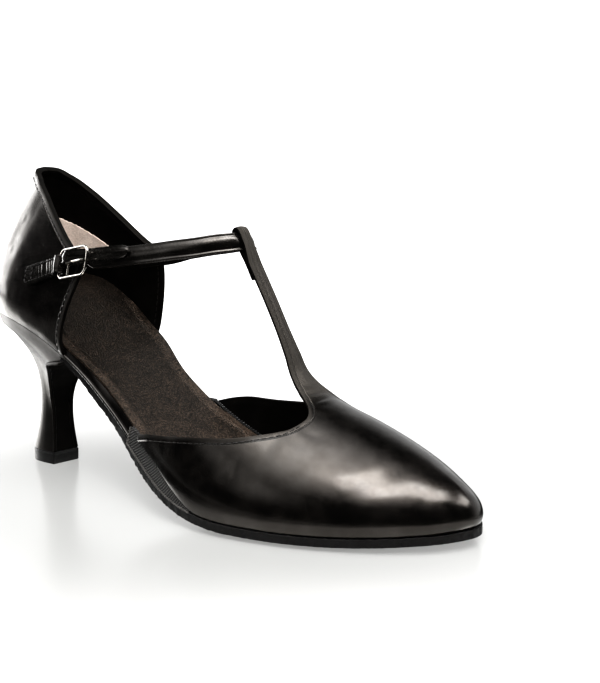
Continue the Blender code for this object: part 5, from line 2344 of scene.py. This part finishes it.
@dataclass
class Quarter:
    """Heel quarter with its folded collar and the grip inside."""

    form: QuarterForm
    wall: float = 1.4
    rim_wall: float = 2.5
    rim_fade: tuple[float, float] = (1.0, 4.5)
    columns: int = 96
    rows: int = 60
    stitch_inset: float = 2.4
    grip_lift: float = 0.25
    grip_foot: float = 0.42
    grip_front: float = 33.0
    grip_back: float = 19.0
    grip_top: float = 98.2
    grip_fall: float = 0.42
    grip_bend: float = 0.006

    def feet(self, count: int) -> np.ndarray:
        """Columns from the back to the front edge, closer together at the back."""
        share = np.linspace(0.0, 1.0, count)
        return TOPLINE[0].foot + (self.form.front - TOPLINE[0].foot) * share**1.7

    def build_quarter(self) -> Piece:
        """Outer face with its wall; the collar is folded and thicker.

        Returns:
            The finished piece.
        """
        feet = self.feet(self.columns)
        rise = np.linspace(0.0, 1.0, self.rows)
        grid = [self.form.points(Side.LATERAL, np.full(self.rows, foot), rise) for foot in feet[::-1]]
        grid += [self.form.points(Side.MEDIAL, np.full(self.rows, foot), rise) for foot in feet[1:]]
        piece = Bench.grid("heel_quarter", np.array(grid))
        Bench.weld(piece, outward=False)
        Bench.face_toward(piece, lambda p, n: float(np.mean(n[p[:, 1] < -15][:, 1])) * -1)
        Bench.crease(piece, QUARTER_CREASES)
        points = Bench.shoe_points(piece)
        fine = self.feet(400)
        ones = np.ones_like(fine)
        collar = np.concatenate([self.form.points(s, fine, ones) for s in Side])
        climb = np.linspace(0.0, 1.0, 400)
        fronts = np.concatenate([self.form.points(s, np.full(400, self.form.front), climb) for s in Side])
        top = distance_to(points, collar)
        Bench.mark(piece, "edge", np.minimum(top, distance_to(points, fronts)))
        thin = self.wall / self.rim_wall
        Bench.wall(piece, self.rim_wall, thin + (1 - thin) * (1 - ease(*self.rim_fade, top)), 0.55)
        return piece

    def build_grip(self) -> Piece:
        """Pale suede grip inside the back of the heel.

        Returns:
            The finished piece.
        """
        wander = random.Random(3)
        feet = self.feet(110)
        feet = feet[feet < self.grip_front]
        jag = [wander.uniform(-0.25, 0.25) for _ in range(2 * len(feet))]
        grid = []
        for number, (side, foot) in enumerate([(Side.LATERAL, f) for f in feet[::-1]]
                                              + [(Side.MEDIAL, f) for f in feet[1:]]):
            fine = np.linspace(self.grip_foot, 1.0, 120)
            outer = self.form.points(side, np.full(120, foot), fine)
            ahead = outer[:, 0] - self.grip_back
            top = self.grip_top - self.grip_fall * ahead - self.grip_bend * ahead**2 + jag[number]
            share = float(fine[np.argmax(outer[:, 2] > top)])
            rise = np.linspace(self.grip_foot, share, 40)
            places = self.form.points(side, np.full(40, foot), rise)
            normal = self.form.normal(side, np.full(40, foot), rise)
            grid.append(places - normal * (self.wall + self.grip_lift))
        piece = Bench.grid("heel_grip", np.array(grid))
        Bench.weld(piece, outward=False)
        Bench.face_toward(piece, lambda p, n: float(np.mean(n[p[:, 1] < -10][:, 1])))
        Bench.apply(piece, "SOLIDIFY", thickness=0.5 * MM, offset=1.0, use_rim=True)
        Bench.round_edges(piece, 0.15, 60.0, 2)
        Bench.smooth(piece, 50.0)
        return piece

    def stitch(self, stitching: Stitching) -> None:
        """Sew round the collar and down both front edges.

        Args:
            stitching: Stitching that is sewn with.
        """
        feet = self.feet(160)
        line, normals = [], []
        for side, foot in [(Side.LATERAL, f) for f in feet[::-1]] + [(Side.MEDIAL, f) for f in feet[1:]]:
            fine = np.linspace(0.85, 1.0, 60)
            rise = set_back(self.form.points(side, np.full(60, foot), fine), fine, self.stitch_inset)
            line.append(self.form.points(side, np.array(foot), np.array(rise)))
            normals.append(self.form.normal(side, np.array(foot), np.array(rise)))
        stitching.row(np.array(line[4:-4]), np.array(normals[4:-4]))
        for side in Side:
            line, normals = [], []
            for rise in np.linspace(0.04, 0.955, 70):
                fine = np.linspace(56.0, self.form.front, 60)
                foot = set_back(self.form.points(side, fine, np.full(60, rise)), fine, self.stitch_inset)
                line.append(self.form.points(side, np.array(foot), np.array(rise)))
                normals.append(self.form.normal(side, np.array(foot), np.array(rise)))
            outer, out = np.array(line), np.array(normals)
            stitching.row(outer, out)
            stitching.row(outer - out * (self.wall + 0.05), -out)

    def dress(self, dresser: Dresser) -> None:
        """Build and finish the quarter, its grip and its stitches.

        Args:
            dresser: Dresser that takes the finished pieces.
        """
        looks = dresser.finishes
        faces = [looks.quarter, looks.lining, looks.cut]
        dresser.dress(self.build_quarter(), Slot.LEATHER, faces, ["quarter"])
        dresser.dress(self.build_grip(), Slot.SOCK, [looks.grip])
        stitching = Stitching()
        self.stitch(stitching)
        dresser.dress(stitching.build("quarter_stitches"), Slot.LEATHER, [looks.thread])


@dataclass
class AnkleStrap:
    """Ankle strap from inside the inner quarter, through the loop and back round the buckle's bar."""

    quarter: QuarterForm
    width: float = 7.5
    thick: float = 1.4
    lean: float = 0.32
    roll: float = 0.2
    roll_span: tuple[float, float] = (86.0, 104.0)
    slim_span: tuple[float, float] = (74.0, 81.0)
    slim_from: int = 60
    wire: float = 0.9
    gap: float = 0.3
    wall: float = 1.4
    tail_tip: float = 97.0
    end_x: tuple[float, ...] = (74.0, 67.0, 61.0, 55.0)
    end_z: float = 86.4
    end_slope: float = 0.18
    quarter_front: float = 66.0
    holes: tuple[float, ...] = (84.5, 89.5)
    hole_rows: tuple = ((1.15, -0.06), (1.0, 0.07), (0.85, 0.1), (0.7, 0.02), (0.55, -0.25), (0.05, -0.3))
    tail_slim: float = 0.32
    tail_lift: float = 1.3

    def section(self) -> np.ndarray:
        """Strap section: a bead along each edge and a crowned face between grooves.

        Returns:
            Points round the section.
        """
        half = self.width / 2
        across = np.array([-1.0, -0.96, -0.86, -0.78, -0.68, -0.6, -0.3, 0.0])
        across = np.concatenate([across, -across[-2::-1]]) * half
        thick = np.array([0.18, 0.52, 0.68, 0.64, 0.38, 0.4, 0.82, 0.96,
                          0.9, 0.58, 0.42, 0.36, 0.46, 0.42, 0.16])
        face = np.stack([thick, across], axis=1)
        back = np.stack([-thick, across], axis=1)[::-1]
        return np.concatenate([face, back])

    def line(self) -> tuple[np.ndarray, np.ndarray, int]:
        """Path of the whole strap.

        Returns:
            Points, upward directions and the index where the tail starts.
        """
        centres = np.array([(row.x, row.y, row.z) for row in STRAP_PATH])
        marks = lengths(centres)
        at = np.linspace(0.0, marks[-1], 220)
        tilt = blend(np.array([[row.tilt] for row in STRAP_PATH]), marks, at)[:, 0]
        body = blend(centres, marks, at)
        lean = self.lean + self.roll * ease(*self.roll_span, body[:, 0])
        ups = np.stack([-np.sin(tilt), -lean * body[:, 1] / 24.0, np.cos(tilt)], axis=1)
        x = np.array(self.end_x)
        face, normal = self.quarter.at(Side.MEDIAL, np.minimum(x, self.quarter_front),
                                       self.end_z + (x - x[0]) * self.end_slope)
        inside = face - normal * (self.wall + self.gap + self.thick / 2)
        inside[:, 0] += x - np.minimum(x, self.quarter_front)
        knots = np.concatenate([body[-1:], inside])
        inside = through(knots, 40)[1:]
        start = body[0]
        run = unit(body[1] - body[0])
        away = unit(np.cross(run, ups[0]))
        radius = self.wire + self.gap + self.thick / 2 + 0.15
        angle = np.linspace(0, np.pi, 28)[1:, None]
        turn = start - run * radius * np.sin(angle) + away * radius * (1 - np.cos(angle))
        near = (body[:, 0] < self.tail_tip) & (body[:, 1] < 0.0) & (np.arange(len(body)) > 0)
        side = unit(np.cross(np.gradient(body, axis=0), ups))[near]
        tail = body[near] + side * column(TAIL, "x", "off", body[near][:, 0])[:, None]
        path = np.concatenate([inside[::-1], body[::-1], turn, tail])
        back = np.tile(ups[-1], (len(inside), 1))
        lift = np.concatenate([back, ups[::-1], np.tile(ups[0], (len(turn), 1)), ups[near]])
        return path, lift, len(path) - len(tail)

    def build_strap(self) -> Piece:
        """Strap with a rounded, slanted tip.

        Returns:
            The finished piece.
        """
        path, ups, tail = self.line()
        section = self.section()
        loops = np.tile(section, (len(path), 1, 1))
        left = lengths(path)[-1] - lengths(path)
        narrow = np.sqrt(np.clip(left / 4.5, 0.0, 1.0) * (2 - np.clip(left / 4.5, 0.0, 1.0)))
        narrow = np.where(np.arange(len(path)) >= tail, 0.3 + 0.7 * narrow, 1.0)
        loops[..., 1] *= narrow[:, None]
        loops[..., 0] *= (0.55 + 0.45 * narrow)[:, None]
        pinch = 1 - 0.18 * np.exp(-(((path[:, 0] - 131.8) / 5.0) ** 2))
        loops[..., 0] *= pinch[:, None]
        wrap = np.exp(-(((np.arange(len(path)) - tail + 14) / 16.0) ** 2))
        loops[..., 0] *= (1 - 0.2 * wrap)[:, None]
        slim = self.slim(path, tail)[:, None]
        loops[..., 1] = loops[..., 1] * (1 - self.tail_slim * slim) + self.tail_lift * slim
        piece = Bench.tube("ankle_strap_leather", path, ups, loops)
        Bench.smooth(piece, 60.0)
        return piece

    def slim(self, path: np.ndarray, tail: int) -> np.ndarray:
        """Where the strap is drawn together and up: in the buckle and along the tail.

        Args:
            path: Points of the strap's path.
            tail: Number of the tail's first point.

        Returns:
            A share for each point of the path.
        """
        number = np.arange(len(path))
        inside = 1 - ease(*self.slim_span, path[:, 0])
        outer = (path[:, 1] < 0.0) & (number > self.slim_from)
        return np.where(number >= tail, 1.0, np.where(outer, inside, 0.0))

    def tail_frame(self, x: float) -> tuple[np.ndarray, np.ndarray, np.ndarray, np.ndarray]:
        """Outer face of the tail at a place: point, run, up and outward direction.

        Args:
            x: Place along the shoe.

        Returns:
            The point and the three directions.
        """
        path, ups, tail = self.line()
        part = path[tail:]
        index = int(np.argmin(np.abs(part[:, 0] - x)))
        run = unit(np.gradient(part, axis=0)[index])
        out = unit(np.cross(run, ups[tail + index]))
        up = np.cross(out, run)
        return part[index] + out * 0.84 + up * self.tail_lift, run, up, out

    def build_holes(self) -> Piece:
        """Punched prong holes with a pressed rim.

        Returns:
            The finished piece.
        """
        pieces = []
        for number, x in enumerate(self.holes):
            point, run, up, out = self.tail_frame(x)
            angles = np.linspace(0, 2 * np.pi, 25)
            rows = []
            for radius, lift in self.hole_rows:
                ring = np.cos(angles)[:, None] * run + np.sin(angles)[:, None] * up
                rows.append(point + ring * radius + out * lift)
            pieces.append(Bench.grid(f"prong_hole_{number}", np.array(rows)))
        piece = Bench.join("prong_holes", pieces)
        Bench.weld(piece, 0.000005, outward=False)
        _, _, _, out = self.tail_frame(self.holes[0])
        Bench.face_toward(piece, lambda p, n: float(np.mean(n @ out)))
        Bench.apply(piece, "SOLIDIFY", thickness=0.15 * MM, offset=-1.0, use_rim=True)
        Bench.smooth(piece, 60.0)
        return piece

    def dress(self, dresser: Dresser) -> None:
        """Build and finish the strap and its holes.

        Args:
            dresser: Dresser that takes the finished pieces.
        """
        looks = dresser.finishes
        dresser.dress(self.build_strap(), Slot.LEATHER, [looks.strap], ["ankle_strap"])
        dresser.dress(self.build_holes(), Slot.LEATHER, [looks.lining])


@dataclass
class Buckle:
    """Wire buckle with its bar and prong, and the stitched tab that holds it."""

    quarter: QuarterForm
    strap: AnkleStrap
    left: Triple = (61.0, -25.6, 84.9)
    right: Triple = (79.3, -28.7, 88.5)
    up: Triple = (-0.15, 0.32, 0.93)
    half: float = 5.5
    corner: float = 2.9
    wire: float = 0.9
    wire_look: float = 0.5
    bar_step: float = 6.6
    gather_span: tuple[float, float] = (48.0, 53.0)
    tab_rear: float = 42.5
    tab_front: float = 57.5
    tab_rear_z: float = 78.4
    tab_slope: float = 0.33
    tab_width: float = 7.4
    tab_thick: float = 1.2
    gap: float = 0.3
    pleats: float = 1.7

    def axes(self) -> tuple[np.ndarray, np.ndarray, np.ndarray, float]:
        """Middle of the left bar, run to the right bar, up, and the length between.

        Returns:
            The point, the two directions and the length.
        """
        left = np.array(self.left)
        run = np.array(self.right) - left
        length = float(np.linalg.norm(run))
        run = run / length
        up = np.array(self.up)
        return left, run, unit(up - run * (up @ run)), length

    def build_frame(self) -> Piece:
        """Rounded wire frame with its middle bar.

        Returns:
            The finished piece.
        """
        left, run, up, length = self.axes()
        near = self.corner
        far = length - near
        rise = self.half - near
        path = []
        for turn, (along, high) in enumerate(((far, rise), (near, rise), (near, -rise), (far, -rise))):
            for a in np.radians(90 * turn + np.linspace(0, 90, 12)):
                path.append(left + run * (along + near * math.cos(a)) + up * (high + near * math.sin(a)))
        path = spaced(np.array(path + path[:1]), 120)[:-1]
        normal = np.cross(run, up)
        ups = np.tile(normal, (len(path), 1))
        frame = Bench.tube("buckle_frame", path, ups, circle(self.wire_look, 16), True)
        ends = np.array([left + run * self.bar_step + up * s for s in np.linspace(-self.half, self.half, 9)])
        bar = Bench.tube("middle_bar", ends, np.tile(normal, (9, 1)), circle(self.wire_look * 0.8, 16))
        piece = Bench.join("buckle_wire", [frame, bar])
        Bench.smooth(piece, 70.0)
        return piece

    def build_prong(self) -> Piece:
        """Prong from the middle bar over the tail to the right bar.

        Returns:
            The finished piece.
        """
        left, run, up, length = self.axes()
        out = np.cross(run, up)
        out = out * (1.0 if out[1] < 0 else -1.0)
        base = left + run * self.bar_step - up * 0.2
        face, _, _, _ = self.strap.tail_frame(74.0)
        lift = float((face - base) @ out) + 0.45
        knots = np.array([base + out * 1.0, base + run * 1.2 + out * max(1.3, lift * 0.7),
                          base + run * 4.5 + out * lift, base + run * 8.5 + out * (lift + 0.1),
                          left + run * (length + 0.5) - up * 0.2 + out * 1.35])
        path = spaced(through(knots, 60), 40)
        thin = np.interp(np.linspace(0, 1, 40), [0.0, 0.8, 1.0], [0.62, 0.52, 0.3])
        loops = circle(1.0, 12) * thin[:, None, None]
        piece = Bench.tube("buckle_prong", path, np.tile(out, (len(path), 1)), loops)
        Bench.smooth(piece, 70.0)
        return piece

    def tab_line(self) -> tuple[np.ndarray, np.ndarray]:
        """Hairpin path of the tab round the left bar, and its upward directions.

        Returns:
            The path's points and their directions.
        """
        left, run, up, _ = self.axes()
        x = np.linspace(self.tab_rear, self.tab_front, 40)
        z = self.tab_rear_z + (x - self.tab_rear) * self.tab_slope
        face, normal = self.quarter.at(Side.LATERAL, x, z)
        inner = face + normal * (self.gap + self.tab_thick / 2)
        outer = face + normal * (2 * self.gap + self.tab_thick * 1.5)
        radius = self.wire + self.gap + self.tab_thick / 2
        away = np.cross(run, up)
        turn = np.array([left + run * radius * math.cos(a) + away * radius * math.sin(a)
                         for a in np.linspace(-np.pi / 2, np.pi / 2, 17)])
        if turn[0, 1] < turn[-1, 1]:
            turn = turn[::-1]
        knots = np.concatenate([inner[::4], turn[2:-2], outer[::-1][::4]])
        path = through(knots, 200)
        return path, np.tile(up, (len(path), 1))

    def build_tab(self) -> Piece:
        """Tab with gathered pleats by the buckle.

        Returns:
            The finished piece.
        """
        path, ups = self.tab_line()
        half = self.tab_width / 2
        across = np.array([-1.0, -0.94, -0.84, -0.74, -0.66, -0.33, 0.0])
        thick = np.array([0.15, 0.5, 0.58, 0.5, 0.54, 0.62, 0.64])
        across = np.concatenate([across, -across[-2::-1]]) * half
        thick = np.concatenate([thick, thick[-2::-1]])
        section = np.concatenate([np.stack([thick, across], 1), np.stack([-thick, across], 1)[::-1]])
        loops = np.tile(section, (len(path), 1, 1))
        run = lengths(path)
        gather = ease(*self.gather_span, path[:, 0])
        wave = np.sin(2 * np.pi * run / self.pleats + 2.2 * np.sin(run * 0.83)) * gather
        middle = np.clip(1 - np.abs(section[:, 1]) / half, 0, 1) ** 0.5
        loops[..., 0] += np.sign(section[:, 0]) * wave[:, None] * middle[None] * 0.1
        loops[..., 1] *= (1 - 0.06 * gather)[:, None]
        piece = Bench.tube("buckle_tab_leather", path, ups, loops)
        Bench.smooth(piece, 60.0)
        return piece

    def stitch(self, stitching: Stitching) -> None:
        """Sew along both edges of the tab and box its rear end.

        Args:
            stitching: Stitching that is sewn with.
        """
        x = np.linspace(self.tab_rear + 0.8, self.tab_front, 60)
        z = self.tab_rear_z + (x - self.tab_rear) * self.tab_slope
        lift = 2 * self.gap + self.tab_thick * 2 + 0.02
        _, _, up, _ = self.axes()
        face, normal = self.quarter.at(Side.LATERAL, x, z)
        line = face + normal * lift
        for sign in (-1, 1):
            stitching.row(line + up * sign * (self.tab_width / 2 - 1.0), normal, 1.7)
        for at in (0, 14):
            rise = np.linspace(1.0 - self.tab_width / 2, self.tab_width / 2 - 1.0, 20)
            stitching.row(line[at] + rise[:, None] * up, np.tile(normal[at], (20, 1)), 1.5)

    def dress(self, dresser: Dresser) -> None:
        """Build and finish every piece.

        Args:
            dresser: Dresser that takes the finished pieces.
        """
        looks = dresser.finishes
        dresser.dress(self.build_frame(), Slot.METAL, [looks.metal], ["buckle"])
        dresser.dress(self.build_prong(), Slot.METAL, [looks.metal])
        dresser.dress(self.build_tab(), Slot.LEATHER, [looks.strap], ["buckle_tab"])
        stitching = Stitching(width=0.42, height=0.42)
        self.stitch(stitching)
        dresser.dress(stitching.build("tab_stitches"), Slot.LEATHER, [looks.thread])


@dataclass(frozen=True)
class Lamp:
    """One soft light: where it hangs, what it faces, its size and how bright its face is."""

    name: str
    place: Triple
    target: Triple
    size: tuple[float, float]
    radiance: float
    fade: float = 0.0
    border: float = 0.0
    glossy: bool = True

    def build(self) -> Piece:
        """Hang the light; the camera sees only what it lights.

        Returns:
            The light.
        """
        data = bpy.data.lights.new(self.name, "AREA")
        data.shape = "RECTANGLE"
        data.size, data.size_y = self.size
        data.energy = math.pi * self.size[0] * self.size[1] * self.radiance
        if self.fade + self.border > 0.0:
            self.soften(data)
        light = bpy.data.objects.new(self.name, data)
        bpy.context.scene.collection.objects.link(light)
        light.location = self.place
        aim = Vector(self.target) - Vector(self.place)
        light.rotation_euler = aim.to_track_quat("-Z", "Y").to_euler()
        light.visible_camera = False
        light.visible_glossy = self.glossy
        return light

    def soften(self, data: bpy.types.Light) -> None:
        """Let the light's face fade along its border, or else from its middle to its edge.

        Args:
            data: The light's data.
        """
        data.use_nodes = True
        graph = Graph.of_tree(data.node_tree)
        where = graph.node("ShaderNodeNewGeometry", output="Parametric")
        if self.border > 0.0:
            across = graph.axis("X", where)
            along = graph.axis("Y", where)
            near = across.math("MINIMUM", 1 - across).math("MINIMUM", along).math("MINIMUM", 1 - along)
            strength = near.step(0.0, self.border)
        else:
            off = graph.away_from((0.5, 0.5, 0.0), where)
            strength = (1 - off * 2.0).math("MAXIMUM", 0.0) ** self.fade
        graph.put(data.node_tree.nodes["Emission"].inputs["Strength"], strength)


@dataclass
class Studio:
    """White floor, soft lights and the camera; places are metres in the part's frame."""

    camera_place: Triple = (0.41535, -0.43725, 0.15708)
    pitch: float = 9.27
    turn: float = 40.47
    roll: float = -0.11
    focal_pixels: float = 1657.0
    frame_pixels: float = 683.0
    sensor: float = 36.0
    lamps: tuple[Lamp, ...] = (
        Lamp("strip", (0.3, 0.0, 1.0), (0.15, 0.06, 0.0), (1.2, 0.36), 9.0, border=0.3),
        Lamp("overhead", (-0.07, -0.22, 1.0), (-0.02, -0.16, 0.0), (1.6, 1.5), 5.0, 1.4),
        Lamp("right_fill", (0.72, 0.7, 0.95), (0.03, 0.0, 0.07), (0.6, 0.5), 6.0, border=0.3),
        Lamp("low_front", (-0.45, -1.3, 1.0), (-0.1, -0.3, 0.0), (1.4, 1.3), 1.2, 1.3),
        Lamp("left_panel", (-1.25, 0.02, 0.28), (-0.1, 0.0, 0.1), (1.06, 0.62), 5.2, border=0.2),
        Lamp("key", (0.65, -0.65, 0.75), (-0.09, 0.018, 0.09), (0.5, 0.5), 25.0, glossy=False),
    )
    floor_size: float = 12.0
    behind: Triple = (-0.3, 0.95, 0.0)
    shade: Triple = (0.03, 0.15, 0.0)
    waist_shade: Triple = (-0.1, -0.105, 0.0)
    glow: Triple = (0.045, -0.02, 0.0)
    shade_fade: tuple[float, float] = (0.1, 0.17)
    waist_fade: tuple[float, float] = (0.075, 0.097)
    glow_fade: tuple[float, float] = (0.045, 0.08)
    floor_fade: tuple[float, float] = (0.07, 0.3)
    floor_base: tuple = rgba(0.16, 0.16, 0.157)
    floor_near: tuple = rgba(0.27, 0.27, 0.266)
    floor_far: tuple = rgba(1.0, 1.0, 1.0)
    mirror_dark: tuple = rgba(0.03, 0.03, 0.03)
    mirror_pale: tuple = rgba(0.78, 0.78, 0.77)

    def build_camera(self) -> Piece:
        """Camera at the photo's angle.

        Returns:
            The camera.
        """
        data = bpy.data.cameras.new("camera")
        data.sensor_width = self.sensor
        data.lens = self.focal_pixels / self.frame_pixels * self.sensor
        camera = bpy.data.objects.new("camera", data)
        bpy.context.scene.collection.objects.link(camera)
        camera.location = self.camera_place
        turns = (90 - self.pitch, self.roll, self.turn)
        camera.rotation_euler = [math.radians(turn) for turn in turns]
        bpy.context.scene.camera = camera
        return camera

    def build_floor(self) -> Piece:
        """White, faintly glossy floor that glows; in the leather's reflections it shows two discs of painted
        shade.

        Returns:
            The floor.
        """
        Bench.deselect()
        bpy.ops.mesh.primitive_plane_add(size=self.floor_size, location=(0.0, 0.0, 0.0))
        floor = bpy.context.view_layer.objects.active
        floor.name = "studio_floor"
        graph = Graph("studio_white")
        far = graph.away_from((0.0, 0.0, 0.0)).step(*self.floor_fade)
        graph.finish({"Base Color": self.floor_base, "Roughness": 0.2, "Emission Strength": 1.0,
                      "Emission Color": graph.mix(far, self.floor_near, self.floor_far)})
        # painted shade on the floor's reflected image: two dark discs near the shoe, seen only by reflected
        # rays
        lit = graph.away_from(self.shade).step(*self.shade_fade)
        lit = lit * graph.away_from(self.waist_shade).step(*self.waist_fade)
        tint = graph.mix(lit, self.mirror_dark, self.mirror_pale)
        gloss = graph.node("ShaderNodeBsdfGlossy", {}, {"Color": tint, "Roughness": 0.14})
        matt = graph.node("ShaderNodeBsdfDiffuse", {}, {"Color": tint})
        close = graph.away_from(self.glow, graph.stretch((0.6, 1.0, 1.0))).step(*self.glow_fade)
        mirror = graph.node("ShaderNodeMixShader", {}, {0: 0.6 - close * 0.46, 1: gloss, 2: matt})
        seen = graph.node("ShaderNodeLightPath", output="Is Camera Ray")
        white = Value(graph, graph.shader.outputs[0])
        both = graph.node("ShaderNodeMixShader", {}, {0: seen, 1: mirror, 2: white})
        graph.put(graph.tree.nodes["Material Output"].inputs["Surface"], both)
        floor.data.materials.append(graph.material)
        return floor

    def build_world(self) -> None:
        """White to the camera; for the leather to reflect, a pale wall behind and dark in front."""
        world = bpy.data.worlds.new("studio")
        bpy.context.scene.world = world
        world.use_nodes = True
        graph = Graph.of_tree(world.node_tree)
        where = graph.node("ShaderNodeTexCoord", output="Generated")
        inputs = {0: where, 1: self.behind}
        back = graph.node("ShaderNodeVectorMath", {"operation": "DOT_PRODUCT"}, inputs, "Value")
        height = graph.axis("Z", where)
        wall = back.step(0.15, 0.65) * (1 - height.step(0.5, 0.78)) * 0.6 + 0.012
        seen = graph.node("ShaderNodeLightPath", output="Is Camera Ray")
        strength = wall + seen * (1 - wall)
        graph.put(world.node_tree.nodes["Background"].inputs["Color"], rgba(1.0, 1.0, 1.0))
        graph.put(world.node_tree.nodes["Background"].inputs["Strength"], strength)

    def build(self) -> None:
        """Set up the whole studio."""
        self.build_camera()
        for lamp in self.lamps:
            lamp.build()
        self.build_floor()
        self.build_world()
        bpy.context.scene.view_settings.view_transform = "Standard"
        bpy.context.scene.view_settings.look = "High Contrast"


def corners(box: tuple) -> list[list[float]]:
    """A box as plain numbers."""
    return [[float(value) for value in corner] for corner in box]


def main() -> None:
    """Build and dress the shoe, then set up the studio."""
    logging.basicConfig(level=logging.INFO, format="%(name)s %(message)s")
    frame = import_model()
    Bench.set_origin(frame["nodes"]["insole"])
    last = Last()
    quarter = QuarterForm(last)
    strap = AnkleStrap(quarter)
    dresser = Dresser(Finishes())
    assemblies = (Bottom(last), Insole(last), Heel(last), Vamp(VampForm(last)), Quarter(quarter), strap,
                  Buckle(quarter, strap))
    for assembly in assemblies:
        assembly.dress(dresser)
    Studio().build()
    LOG.info("%d pieces", len(dresser.pieces))


if __name__ == "__main__":
    main()
